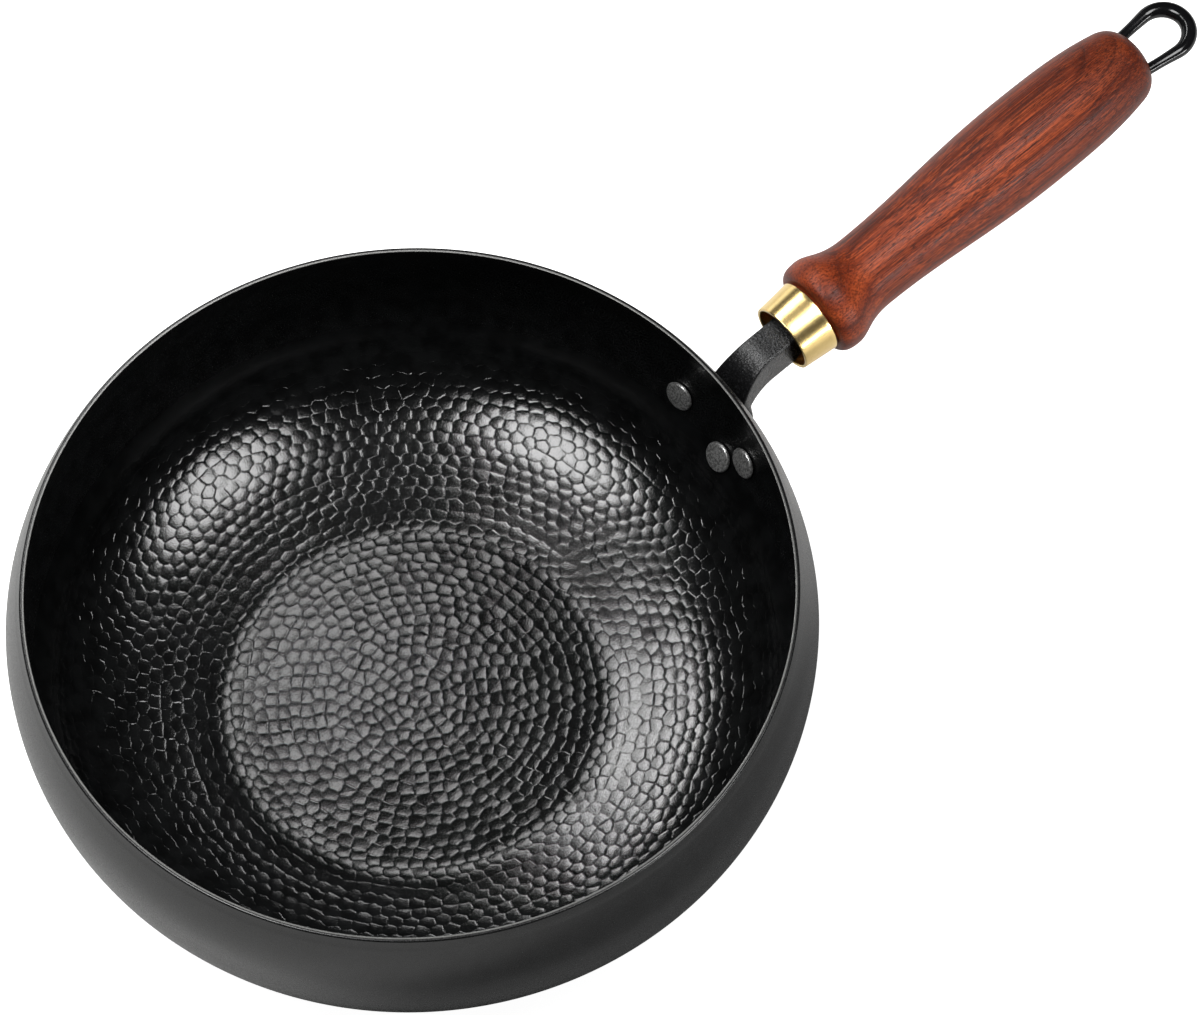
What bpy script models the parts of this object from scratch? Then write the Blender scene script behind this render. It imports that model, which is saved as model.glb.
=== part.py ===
"""Flat-based iron wok with an inward rim, a riveted channel bracket and a turned wooden handle.

Units are metres and +Z is up. The origin is on the turning axis of the wok, in the plane of its underside.
The handle points along +X. The wok is a turned shell, the bracket is a sheet pressing whose plate follows
the bulged wall, and everything on the handle sits on one axis that rises slightly to the tail.
"""

import math

import bmesh
import bpy
import numpy as np
from mathutils import Matrix, Vector

# Wok shell. The inside is the driving side and the outside lies one wall thickness further out.
RIM_INNER_RADIUS = 0.150
RIM_TO_FLOOR = 0.098
WALL = 0.002
FLOOR_THICKNESS = 0.003
FLOOR_RADIUS = 0.078
BULGE_BEYOND_RIM = 0.0076
BULGE_INNER_RADIUS = RIM_INNER_RADIUS + BULGE_BEYOND_RIM
BULGE_BELOW_RIM = 0.0305
WALL_LEAVES_FLOOR_AT = math.radians(13.7)
WALL_FLOOR_PULL = 0.0344
WALL_BULGE_PULL = 0.0589
SHOULDER_PULL = 0.0112
RIM_LEAN = math.radians(20.0)
RIM_PULL = 0.0106
RIM_EDGE_ROUND = 0.0004
FOOT_ROUND = 0.0012

# Bracket, one sheet.
SHEET = 0.0025
FOLD_RADIUS = 0.00225
PLATE_MARGIN = 0.0075
SHOULDER_LENGTH = 0.0065
FOLD_RUN = 0.013
ARM_LEAVES_BELOW_RIM = 0.0585
ARM_ROOT_PULL = 0.0145
ARM_BEND_PULL = 0.0135
ARM_BEND_TO_MOUTH = 0.0105
ARM_CREASE = 0.009
ARM_CREASE_BLEND = 0.004
ARM_ROOT_WIDTH = 0.0205
ARM_WIDTH = 0.01375
ARM_DEPTH = 0.0166
ARM_ROOT_FLANGE = 0.005
FLANGE_ROOT_PULL = 0.0065
FLANGE_BEND_PULL = 0.0095
ARM_TOP_ABOVE_AXIS = 0.0064
TANG_DEPTH = 0.0120
TANG_END_WIDTH = 0.0095
TANG_END_DEPTH = 0.0065
TANG_LENGTH = 0.056

# Rivets.
RIVET_SHANK_RADIUS = 0.003
RIVET_HEAD_RADIUS = 0.0065
RIVET_HEAD_HEIGHT = 0.0017
RIVET_TAIL_RADIUS = 0.0056
RIVET_TAIL_HEIGHT = 0.0026
RIVET_HEAD_EDGE = 0.0006
UPPER_RIVETS_BELOW_RIM = 0.0526
LOWER_RIVET_BELOW_RIM = 0.0623
LEFT_RIVET_ASIDE = 0.0168
RIGHT_RIVET_ASIDE = 0.0236
LOWER_RIVET_ASIDE = 0.0108

# Handle axis, ferrule, grip and hanging loop.
HANDLE_RISE = math.radians(4.0)
AXIS_BELOW_RIM = 0.0431
MOUTH_FROM_BULGE = 0.0334
FERRULE_MOUTH_RADIUS = 0.0149
FERRULE_LENGTH = 0.0154
FERRULE_TAPER = math.radians(5.2)
FERRULE_WALL = 0.0013
FERRULE_EDGE_ROUND = 0.0004
TENON_LENGTH = 0.0068
GRIP_LENGTH = 0.1764
BEAD_RADIUS = 0.0208
BEAD_CREST_FROM_FRONT = 0.0082
BEAD_FACE_PULL = 0.0038
BEAD_CREST_PULL = 0.0052
COVE_CREST_PULL = 0.0058
COVE_NECK_PULL = 0.0125
NECK_RADIUS = 0.0162
NECK_FROM_FRONT = 0.0290
SWELL_NECK_PULL = 0.0313
SWELL_BELLY_PULL = 0.0365
BELLY_RADIUS = 0.0206
BELLY_FROM_FRONT = 0.1170
TAPER_BELLY_PULL = 0.0200
TAPER_TAIL_PULL = 0.0160
TAIL_RADIUS = 0.0172
TAIL_SLOPE = math.radians(11.0)
TAIL_ROUND = 0.0105
TAIL_ROUND_PULL = 0.0072
TAIL_FLAT_PULL = 0.0110
TANG_BORE_EXTRA = 0.0020
LOOP_LEG_WIRE_RADIUS = 0.0024
LOOP_BEND_WIRE_RADIUS = 0.0030
LOOP_RADIUS = 0.0111
LOOP_REACH = 0.0144
LOOP_ASIDE = -0.0005
LOOP_LEG_SPREAD = 0.0093
LOOP_LEG_DEPTH = 0.0200

# Clearance between pieces that touch.
GAP = 0.0003

# Distances over which slopes are read: along the wall, and along the bracket's finer bends.
WALL_STEP = 0.004
BEND_STEP = 0.0015

# Facets.
SHELL_STEPS = 72
WALL_LOWER_POINTS = 15
WALL_UPPER_POINTS = 6

TOTAL_HEIGHT = RIM_TO_FLOOR + FLOOR_THICKNESS


def clear_scene():
    for obj in list(bpy.data.objects):
        bpy.data.objects.remove(obj, do_unlink=True)


def paint(obj, colour, roughness, metallic):
    """Give an object its own Principled material."""
    material = bpy.data.materials.new(obj.name + "_material")
    material.use_nodes = True
    shader = material.node_tree.nodes["Principled BSDF"]
    shader.inputs["Base Color"].default_value = (*colour, 1.0)
    shader.inputs["Roughness"].default_value = roughness
    shader.inputs["Metallic"].default_value = metallic
    obj.data.materials.append(material)


def add_object(name, data, placing=None):
    obj = bpy.data.objects.new(name, data)
    bpy.context.scene.collection.objects.link(obj)
    if placing is not None:
        obj.matrix_world = placing
    return obj


def hide_cutter(obj):
    obj.hide_render = True
    obj.display_type = "WIRE"


def bezier(start, first, second, end, count):
    """Points along a cubic curve, both ends included."""
    t = np.linspace(0.0, 1.0, count)[:, None]
    s = 1.0 - t
    corners = [np.asarray(p, dtype=float) for p in (start, first, second, end)]
    return s**3 * corners[0] + 3 * s * s * t * corners[1] + 3 * s * t * t * corners[2] + t**3 * corners[3]


def evenly(points, count):
    """The same curve read again at even arc lengths."""
    steps = np.hypot(*np.diff(points, axis=0).T)
    length = np.concatenate([[0.0], np.cumsum(steps)])
    at = np.linspace(0.0, length[-1], count)
    return np.stack([np.interp(at, length, points[:, k]) for k in range(2)], axis=1)


def inner_wall():
    """Inside of the wall as radius and height, from the edge of the floor up to the rim."""
    floor_edge = np.array([FLOOR_RADIUS, FLOOR_THICKNESS])
    leaving = np.array([math.cos(WALL_LEAVES_FLOOR_AT), math.sin(WALL_LEAVES_FLOOR_AT)])
    bulge = np.array([BULGE_INNER_RADIUS, TOTAL_HEIGHT - BULGE_BELOW_RIM])
    rim = np.array([RIM_INNER_RADIUS, TOTAL_HEIGHT])
    lean = np.array([math.sin(RIM_LEAN), -math.cos(RIM_LEAN)])
    up = np.array([0.0, 1.0])
    lower = bezier(
        floor_edge,
        floor_edge + WALL_FLOOR_PULL * leaving,
        bulge - WALL_BULGE_PULL * up,
        bulge,
        200,
    )
    upper = bezier(bulge, bulge + SHOULDER_PULL * up, rim + RIM_PULL * lean, rim, 100)
    return np.concatenate([evenly(lower, WALL_LOWER_POINTS), evenly(upper, WALL_UPPER_POINTS)[1:]])


def shifted_wall(distance):
    """The inside curve moved outwards, square to itself."""
    points = inner_wall()
    along = np.gradient(points, axis=0)
    along /= np.hypot(*along.T)[:, None]
    outwards = np.stack([along[:, 1], -along[:, 0]], axis=1)
    return points + distance * outwards


def wall_radius(height, distance):
    """Radius of the shifted wall at a height."""
    curve = shifted_wall(distance)
    return float(np.interp(height, curve[:, 1], curve[:, 0]))


def turned(name, profile, steps, placing=None):
    """A solid of revolution about its own Z axis, from a profile that runs down its outer side."""
    mesh = bpy.data.meshes.new(name)
    is_ring = profile[0][0] > 0.0
    vertices = [(radius, 0.0, height) for radius, height in profile]
    edges = [(i, i + 1) for i in range(len(vertices) - 1)]
    if is_ring:
        edges.append((len(vertices) - 1, 0))
    mesh.from_pydata(vertices, edges, [])
    obj = add_object(name, mesh, placing)
    screw = obj.modifiers.new("turning", "SCREW")
    screw.axis = "Z"
    screw.angle = 2 * math.pi
    screw.steps = steps
    screw.render_steps = steps
    screw.use_merge_vertices = True
    screw.merge_threshold = 0.00001
    screw.use_smooth_shade = True
    return obj


def quarter(centre, radius, start, end, count=3):
    """Points on an arc in the profile plane, angles in degrees."""
    return [
        (centre[0] + radius * math.cos(math.radians(a)), centre[1] + radius * math.sin(math.radians(a)))
        for a in np.linspace(start, end, count)
    ]


def cutting_rod(name, start, end, radius, steps=20):
    """A hidden cylinder between two points."""
    direction = end - start
    mesh = bpy.data.meshes.new(name)
    work = bmesh.new()
    bmesh.ops.create_cone(
        work, cap_ends=True, segments=steps, radius1=radius, radius2=radius, depth=direction.length
    )
    work.to_mesh(mesh)
    work.free()
    turn = direction.to_track_quat("Z", "Y").to_matrix().to_4x4()
    obj = add_object(name, mesh, Matrix.Translation((start + end) / 2) @ turn)
    hide_cutter(obj)
    return obj


def cut(obj, cutter):
    hole = obj.modifiers.new("hole " + cutter.name, "BOOLEAN")
    hole.operation = "DIFFERENCE"
    hole.solver = "EXACT"
    hole.object = cutter


class Rivet:
    """A rivet through wall and plate, square to the wall where it stands.

    aside is its distance along the wall from the handle's plane, positive towards +Y.
    """

    def __init__(self, name, aside, below_rim):
        self.name = name
        self.aside = aside
        height = TOTAL_HEIGHT - below_rim
        curve = inner_wall()
        radius = wall_radius(height, 0.0)
        reach = 0.5 * WALL_STEP
        slope = (wall_radius(height + reach, 0.0) - wall_radius(height - reach, 0.0)) / (2 * reach)
        self.angle = aside / radius
        flat = Vector((math.cos(self.angle), math.sin(self.angle), 0.0))
        self.seat = Vector((flat.x * radius, flat.y * radius, height))
        self.axis = Vector((flat.x, flat.y, -slope)).normalized()
        self.arc = float(np.interp(height, curve[:, 1], arc_lengths(curve)))

    def placing(self):
        """Frame whose Z axis points out of the wok."""
        turn = self.axis.to_track_quat("Z", "Y").to_matrix().to_4x4()
        return Matrix.Translation(self.seat) @ turn

    def surface_span(self, distance, head_radius):
        """Least and greatest height of the shifted wall above the seat, under a head."""
        frame = self.placing()
        heights = []
        for turn in np.linspace(0.0, 2 * math.pi, 24, endpoint=False):
            offset = Vector((head_radius * math.cos(turn), head_radius * math.sin(turn), 0.0))
            low, high = -head_radius, 2 * head_radius
            for _ in range(40):
                middle = (low + high) / 2
                point = frame @ (offset + Vector((0.0, 0.0, middle)))
                if math.hypot(point.x, point.y) < wall_radius(point.z, distance):
                    low = middle
                else:
                    high = middle
            heights.append(low)
        heights.append(distance)
        return min(heights), max(heights)

    def bore(self):
        start = self.seat - self.axis * 3 * RIVET_HEAD_HEIGHT
        end = self.seat + self.axis * (3 * RIVET_TAIL_HEIGHT + WALL + SHEET)
        return cutting_rod("bore_" + self.name, start, end, RIVET_SHANK_RADIUS + GAP)

    def build(self):
        """Domed head inside, shank, and domed tail outside the plate, turned in one piece."""
        under_head = self.surface_span(0.0, RIVET_HEAD_RADIUS)[0] - GAP
        over_plate = self.surface_span(WALL + GAP + SHEET, RIVET_TAIL_RADIUS)[1] + GAP
        tail_top = over_plate + RIVET_TAIL_HEIGHT
        head_top = under_head - RIVET_HEAD_HEIGHT
        profile = [(0.0, tail_top)]
        profile += dome(RIVET_TAIL_RADIUS, over_plate + RIVET_HEAD_EDGE, tail_top)
        profile += [(RIVET_TAIL_RADIUS, over_plate), (RIVET_SHANK_RADIUS, over_plate)]
        profile += [(RIVET_SHANK_RADIUS, under_head), (RIVET_HEAD_RADIUS, under_head)]
        profile += reversed(dome(RIVET_HEAD_RADIUS, under_head - RIVET_HEAD_EDGE, head_top))
        profile += [(0.0, head_top)]
        return turned(self.name, profile, 20, self.placing())


def dome(radius, edge, top, count=4):
    """Profile points of a shallow dome, from near its top out to its edge."""
    turns = np.linspace(0.0, math.pi / 2, count + 1)[1:]
    return [(radius * math.sin(a), edge + (top - edge) * math.cos(a)) for a in turns]


def arc_lengths(points):
    return np.concatenate([[0.0], np.cumsum(np.hypot(*np.diff(points, axis=0).T))])


def build_shell():
    """Floor, bulged wall and inward rim as one turned shell."""
    inside = inner_wall()
    outside = shifted_wall(WALL)
    rim_in = (float(inside[-1, 0]) + RIM_EDGE_ROUND, TOTAL_HEIGHT - RIM_EDGE_ROUND)
    rim_width = WALL / math.cos(RIM_LEAN)
    rim_out = (float(inside[-1, 0]) + rim_width - RIM_EDGE_ROUND, TOTAL_HEIGHT - RIM_EDGE_ROUND)
    outside_below_rim = [tuple(p) for p in outside[::-1] if p[1] < TOTAL_HEIGHT - 2 * WALL]
    foot = outside[0]
    outside_above_foot = [p for p in outside_below_rim if p[1] > FOOT_ROUND and p[0] > foot[0] + FOOT_ROUND]
    profile = [(0.0, FLOOR_THICKNESS)]
    profile += [tuple(p) for p in inside[:-1]]
    profile += quarter(rim_in, RIM_EDGE_ROUND, 180.0, 90.0)
    profile += quarter(rim_out, RIM_EDGE_ROUND, 90.0, 0.0)
    profile += outside_above_foot
    profile += [(FLOOR_RADIUS + FOOT_ROUND, FOOT_ROUND / 3), (FLOOR_RADIUS - FOOT_ROUND, 0.0), (0.0, 0.0)]
    return turned("pan_body", profile, SHELL_STEPS)


def handle_frame(along=0.0):
    """Frame on the handle's axis, Z towards the tail, at a distance behind the ferrule's mouth."""
    turn = Matrix.Rotation(math.pi / 2 - HANDLE_RISE, 4, "Y")
    from_axis = BULGE_INNER_RADIUS + WALL + MOUTH_FROM_BULGE
    start = Vector((from_axis, 0.0, TOTAL_HEIGHT - AXIS_BELOW_RIM + from_axis * math.tan(HANDLE_RISE)))
    return Matrix.Translation(start) @ turn @ Matrix.Translation((0.0, 0.0, along))


def plate_outline(rivets):
    """Outline drawn tightly round three discs, one about each rivet, as arc length and distance aside."""
    ring = np.linspace(0.0, 2 * math.pi, 72, endpoint=False)
    points = []
    for rivet in rivets:
        points += [
            (rivet.arc + PLATE_MARGIN * math.sin(a), rivet.aside + PLATE_MARGIN * math.cos(a)) for a in ring
        ]
    points = sorted(points)
    sides = []
    for sign in (1.0, -1.0):
        chain = []
        for s, y in points:
            while len(chain) > 1:
                (s0, y0), (s1, y1) = chain[-2], chain[-1]
                if sign * ((s1 - s0) * (y - y0) - (y1 - y0) * (s - s0)) >= 0.0:
                    chain.pop()
                else:
                    break
            chain.append((s, y))
        if chain[-1][0] - chain[-2][0] < 1e-9:
            chain.pop()
        if chain[1][0] - chain[0][0] < 1e-9:
            chain.pop(0)
        sides.append(np.array(chain))
    return sides


def blend(value, start, end):
    """Smooth step from 0 at start to 1 at end."""
    t = np.clip((value - start) / (end - start), 0.0, 1.0)
    return t * t * (3.0 - 2.0 * t)


class Bracket:
    """Sheet pressing: a plate that follows the wall, and an arm that leaves it, folds into a channel
    and runs along the handle's axis as the tang."""

    def __init__(self, rivets):
        self.rivets = rivets
        self.middle = WALL + GAP + SHEET / 2
        self.wall_curve = shifted_wall(self.middle)
        self.wall_arc = arc_lengths(inner_wall())
        left, right = plate_outline(rivets)
        self.left_side, self.right_side = left, right
        self.bottom = float(min(left[0, 0], right[0, 0]))
        self.top = float(max(left[-1, 0], right[-1, 0]))
        self.lay_out_path()

    def wall_point(self, arc):
        return np.array([np.interp(arc, self.wall_arc, self.wall_curve[:, k]) for k in range(2)])

    def lay_out_path(self):
        """Centre line in the handle's plane, as points with their arc lengths."""
        heights = self.wall_curve[:, 1]
        leave = float(np.interp(TOTAL_HEIGHT - ARM_LEAVES_BELOW_RIM, heights, self.wall_arc))
        start = self.wall_point(leave)
        ahead = self.wall_point(leave + WALL_STEP) - self.wall_point(leave - WALL_STEP)
        ahead /= np.hypot(*ahead)
        rise = np.array([math.cos(HANDLE_RISE), math.sin(HANDLE_RISE)])
        square = np.array([-rise[1], rise[0]])
        mouth = handle_frame().translation
        mouth = np.array([mouth.x, mouth.z]) + square * (ARM_TOP_ABOVE_AXIS - SHEET / 2)
        bend_end = mouth - rise * ARM_BEND_TO_MOUTH
        bend = bezier(
            start, start + ahead * ARM_ROOT_PULL, bend_end - rise * ARM_BEND_PULL, bend_end, 80
        )
        bend = evenly(bend, 15)
        self.leave = leave
        self.bend_arc = leave + arc_lengths(bend)
        self.bend = bend
        self.mouth_arc = self.bend_arc[-1] + ARM_BEND_TO_MOUTH
        self.end_arc = self.mouth_arc + TANG_LENGTH
        self.rise = rise
        self.square = square
        self.bend_end = bend_end
        root = self.path_point(self.top)
        root_edge = root - self.path_normal(self.top) * (ARM_ROOT_FLANGE - SHEET / 2)
        along = self.path_point(self.top + WALL_STEP) - root
        along /= np.hypot(*along)
        full_edge = bend_end - square * (ARM_DEPTH - SHEET / 2)
        self.flange_edge = bezier(
            root_edge, root_edge + along * FLANGE_ROOT_PULL, full_edge - rise * FLANGE_BEND_PULL, full_edge, 60
        )

    def path_point(self, arc):
        if arc <= self.leave:
            return self.wall_point(arc)
        if arc <= self.bend_arc[-1]:
            return np.array([np.interp(arc, self.bend_arc, self.bend[:, k]) for k in range(2)])
        return self.bend_end + self.rise * (arc - self.bend_arc[-1])

    def path_normal(self, arc):
        """Side of the path that faces the wok, and faces up along the handle."""
        ahead = self.path_point(arc + BEND_STEP) - self.path_point(arc - BEND_STEP)
        ahead /= np.hypot(*ahead)
        return np.array([-ahead[1], ahead[0]])

    def half_width(self, arc):
        """Half of the arm's outer width."""
        root, full = self.top, self.bend_arc[-1]
        narrowing = blend(arc, root, full)
        width = ARM_ROOT_WIDTH + (ARM_WIDTH - ARM_ROOT_WIDTH) * narrowing
        tail = blend(arc, self.mouth_arc + FERRULE_LENGTH, self.end_arc)
        return (width + (TANG_END_WIDTH - ARM_WIDTH) * tail) / 2

    def drop(self, arc):
        """Where the flanges hang from the middle of the sheet, as a step to their edge."""
        if arc <= self.top:
            return -self.path_normal(arc) * (ARM_ROOT_FLANGE - SHEET / 2)
        if arc < self.bend_arc[-1]:
            along = (arc - self.top) / (self.bend_arc[-1] - self.top) * (len(self.flange_edge) - 1)
            stations = np.arange(len(self.flange_edge))
            edge = [float(np.interp(along, stations, self.flange_edge[:, k])) for k in range(2)]
            return np.array(edge) - self.path_point(arc)
        depth = ARM_DEPTH
        step = blend(arc, self.mouth_arc, self.mouth_arc + FERRULE_LENGTH - TENON_LENGTH - WALL)
        depth += (TANG_DEPTH - ARM_DEPTH) * step
        tail = blend(arc, self.mouth_arc + FERRULE_LENGTH, self.end_arc)
        depth += (TANG_END_DEPTH - TANG_DEPTH) * tail
        return -self.square * (depth - SHEET / 2)

    def fold(self, arc):
        """Angle of the flanges, flat at the plate and square along the arm."""
        return math.pi / 2 * float(blend(arc, self.top, self.top + FOLD_RUN))

    def plate_side(self, arc, side):
        """Signed distance aside of the plate's edge."""
        outline = self.left_side if side > 0 else self.right_side
        return float(np.interp(arc, outline[:, 0], outline[:, 1]))

    def middle_line(self, arc):
        """Distance aside of the middle column, nought wherever the plate spans the handle's plane."""
        least = PLATE_MARGIN / 2
        left, right = self.plate_side(arc, 1.0), self.plate_side(arc, -1.0)
        if arc > self.leave:
            return 0.0
        return min(0.0, left - least) + max(0.0, right + least)

    def edge(self, arc, side):
        """Developed distance from the middle column to the sheet's edge on one side."""
        plate = abs(self.plate_side(arc, side) - self.middle_line(arc))
        flat = self.half_width(arc) - FOLD_RADIUS - SHEET / 2
        arm = flat + FOLD_RADIUS * (math.pi / 2 - 1.0) + float(np.hypot(*self.drop(arc)))
        shoulder = float(blend(arc, self.top, self.top + SHOULDER_LENGTH))
        return plate + (arm - plate) * shoulder

    def rows(self):
        """Arc lengths of the rows of points, closer where the plate's ends round off and the arm bends."""
        plate = np.linspace(self.bottom + SHEET / 12, self.top, 13)
        caps = self.bottom + PLATE_MARGIN * (1.0 - np.cos(np.radians([25.0, 45.0])))
        ends = self.top - PLATE_MARGIN * (1.0 - np.cos(np.radians([20.0, 40.0])))
        bend = np.linspace(self.top + SHOULDER_LENGTH / 5, self.bend_arc[-1], 18)
        arm = np.linspace(self.bend_arc[-1], self.mouth_arc + TENON_LENGTH, 6)[1:]
        tang = np.linspace(self.mouth_arc + TENON_LENGTH, self.end_arc, 6)[1:]
        return np.unique(np.round(np.concatenate([plate, caps, ends, bend, arm, tang]), 7))

    def row_points(self, arc):
        """Points of the middle surface across the sheet, from the left edge to the right edge."""
        centre = self.path_point(arc)
        down = self.drop(arc) / np.hypot(*self.drop(arc))
        middle = self.middle_line(arc)
        wall = self.wall_point(min(arc, self.wall_arc[-1]))
        angle = self.fold(arc)
        flat = self.half_width(arc) - FOLD_RADIUS - SHEET / 2
        fold_length = FOLD_RADIUS * math.pi / 2
        points = []
        for side in (1.0, -1.0):
            edge = self.edge(arc, side)
            start = min(flat, 0.55 * edge)
            length = min(fold_length, 0.3 * edge)
            stops = [start / 2, start]
            stops += [start + length * k / 3 for k in (1, 2, 3)]
            stops += [start + length + (edge - start - length) * k / 4 for k in (1, 2, 3, 4)]
            run = []
            for stop in stops:
                across, drop = folded(stop, start, length, angle)
                on_arm = Vector((centre[0] + down[0] * drop, side * across, centre[1] + down[1] * drop))
                turn = (middle + side * stop) / BULGE_INNER_RADIUS
                on_wall = Vector((wall[0] * math.cos(turn), wall[0] * math.sin(turn), wall[1]))
                share = 1.0 - float(blend(stop, ARM_CREASE, ARM_CREASE + ARM_CREASE_BLEND))
                share *= float(arc > self.leave)
                share = max(share, float(blend(arc, self.top, self.top + SHOULDER_LENGTH)))
                run.append(on_wall.lerp(on_arm, share))
            points.append(run)
        left, right = points
        turn = middle / BULGE_INNER_RADIUS
        on_centre = Vector((centre[0] * math.cos(turn), centre[0] * math.sin(turn), centre[1]))
        return left[::-1] + [on_centre] + right

    def build(self):
        rows = [self.row_points(arc) for arc in self.rows()]
        count = len(rows[0])
        mesh = bpy.data.meshes.new("handle_bracket")
        vertices = [tuple(p) for row in rows for p in row]
        faces = []
        for i in range(len(rows) - 1):
            for j in range(count - 1):
                a = i * count + j
                faces.append((a, a + 1, a + count + 1, a + count))
        mesh.from_pydata(vertices, [], faces)
        mesh.shade_smooth()
        obj = add_object("handle_bracket", mesh)
        solid = obj.modifiers.new("sheet", "SOLIDIFY")
        solid.thickness = SHEET
        solid.offset = 0.0
        solid.use_even_offset = True
        solid.use_quality_normals = True
        return obj


def folded(stop, start, length, angle):
    """Distance aside and drop of a point on the sheet once its flange is folded."""
    if stop <= start or angle < 1e-6:
        return stop, 0.0
    radius = length / angle
    swept = min(stop - start, length) / radius
    across = start + radius * math.sin(swept)
    drop = radius * (1.0 - math.cos(swept))
    beyond = max(stop - start - length, 0.0)
    return across + beyond * math.cos(angle), drop + beyond * math.sin(angle)


def ferrule_radius(along):
    """Outer radius of the ferrule at a distance behind its mouth."""
    return FERRULE_MOUTH_RADIUS + along * math.tan(FERRULE_TAPER)


def build_ferrule():
    """Conical tube with eased edges, open at the mouth."""
    rear = FERRULE_LENGTH
    ease = FERRULE_EDGE_ROUND
    rear_outer = ferrule_radius(rear)
    rear_inner = rear_outer - FERRULE_WALL
    mouth_inner = FERRULE_MOUTH_RADIUS - FERRULE_WALL
    profile = quarter((rear_outer - ease, rear - ease), ease, 90.0, 0.0)
    profile += quarter((FERRULE_MOUTH_RADIUS - ease, ease), ease, 0.0, -90.0)
    profile += quarter((mouth_inner + ease, ease), ease, -90.0, -180.0)
    profile += [(rear_inner, rear)]
    return turned("ferrule", profile, 48, handle_frame())


def grip_side():
    """Outer side of the grip behind the ferrule, as radius and distance behind the mouth."""
    front = FERRULE_LENGTH + GAP
    seat = ferrule_radius(FERRULE_LENGTH) - FERRULE_EDGE_ROUND
    crest = np.array([BEAD_RADIUS, front + BEAD_CREST_FROM_FRONT])
    neck = np.array([NECK_RADIUS, front + NECK_FROM_FRONT])
    belly = np.array([BELLY_RADIUS, front + BELLY_FROM_FRONT])
    tail = front + GRIP_LENGTH
    shoulder = np.array([TAIL_RADIUS, tail - TAIL_ROUND])
    along = np.array([0.0, 1.0])
    aside = np.array([1.0, 0.0])
    closing = np.array([-math.sin(TAIL_SLOPE), math.cos(TAIL_SLOPE)])
    face = np.array([seat, front])
    end = np.array([0.0, tail])
    bead = bezier(face, face + BEAD_FACE_PULL * aside, crest - BEAD_CREST_PULL * along, crest, 6)
    cove = bezier(crest, crest + COVE_CREST_PULL * along, neck - COVE_NECK_PULL * along, neck, 9)
    swell = bezier(neck, neck + SWELL_NECK_PULL * along, belly - SWELL_BELLY_PULL * along, belly, 9)
    taper = bezier(
        belly, belly + TAPER_BELLY_PULL * along, shoulder - TAPER_TAIL_PULL * closing, shoulder, 6
    )
    rounded = bezier(
        shoulder, shoulder + TAIL_ROUND_PULL * closing, end + TAIL_FLAT_PULL * aside, end, 8
    )
    return np.concatenate([bead, cove[1:], swell[1:], taper[1:], rounded[1:]])


def bore_radius():
    """Bore that clears the corners of the tang."""
    high = ARM_TOP_ABOVE_AXIS
    low = TANG_DEPTH - ARM_TOP_ABOVE_AXIS
    return math.hypot(ARM_WIDTH / 2 - FOLD_RADIUS / 3, max(high, low)) + GAP


def build_grip():
    """Turned grip: tenon in the ferrule, bead, neck, belly and rounded tail, bored for the tang."""
    front = FERRULE_LENGTH + GAP
    tenon_front = FERRULE_LENGTH - TENON_LENGTH
    inside = FERRULE_WALL + GAP
    slope = math.tan(FERRULE_TAPER)
    tenon_front_radius = ferrule_radius(tenon_front) - inside
    tenon_rear_radius = tenon_front_radius + slope * (front - tenon_front)
    bore = bore_radius()
    profile = [tuple(p) for p in grip_side()[::-1]]
    profile += [(tenon_rear_radius, front), (tenon_front_radius, tenon_front)]
    profile += [(bore, tenon_front), (bore, TANG_LENGTH + TANG_BORE_EXTRA), (0.0, TANG_LENGTH + TANG_BORE_EXTRA)]
    return turned("wooden_grip", profile, 40, handle_frame())


def loop_points():
    """Centre line of the wire in the handle's frame: a leg, the ring and the other leg."""
    tail = FERRULE_LENGTH + GAP + GRIP_LENGTH
    centre = Vector((0.0, LOOP_ASIDE, tail + LOOP_REACH))
    legs = []
    touches = []
    for side in (1.0, -1.0):
        root = Vector((0.0, side * LOOP_LEG_SPREAD, tail))
        to_centre = centre - root
        opening = math.asin(LOOP_RADIUS / to_centre.length)
        heading = math.atan2(to_centre.y, to_centre.z) + side * opening
        along = Vector((0.0, math.sin(heading), math.cos(heading)))
        touch = root + along * to_centre.length * math.cos(opening)
        inner = root - along * LOOP_LEG_DEPTH
        legs.append([inner.lerp(touch, k) for k in (0.0, 0.35, 0.7)])
        touches.append(math.atan2(touch.y - centre.y, touch.z - centre.z))
    turns = np.linspace(touches[0], touches[1], 25)
    ring = [centre + LOOP_RADIUS * Vector((0.0, math.sin(a), math.cos(a))) for a in turns]
    return legs[0] + ring + legs[1][::-1]


def build_loop():
    """Round wire, thinner in its legs than round the bend."""
    points = loop_points()
    tail = FERRULE_LENGTH + GAP + GRIP_LENGTH
    thicker = LOOP_BEND_WIRE_RADIUS / LOOP_LEG_WIRE_RADIUS - 1.0
    curve = bpy.data.curves.new("hanging_loop", "CURVE")
    curve.dimensions = "3D"
    curve.bevel_depth = LOOP_LEG_WIRE_RADIUS
    curve.bevel_resolution = 2
    curve.render_resolution_u = 0
    curve.use_fill_caps = True
    spline = curve.splines.new("POLY")
    spline.points.add(len(points) - 1)
    for slot, point in zip(spline.points, points):
        slot.co = (*point, 1.0)
        slot.radius = 1.0 + thicker * float(blend(point.z, tail, tail + LOOP_REACH + LOOP_RADIUS))
    return add_object("hanging_loop", curve, handle_frame())


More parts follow.
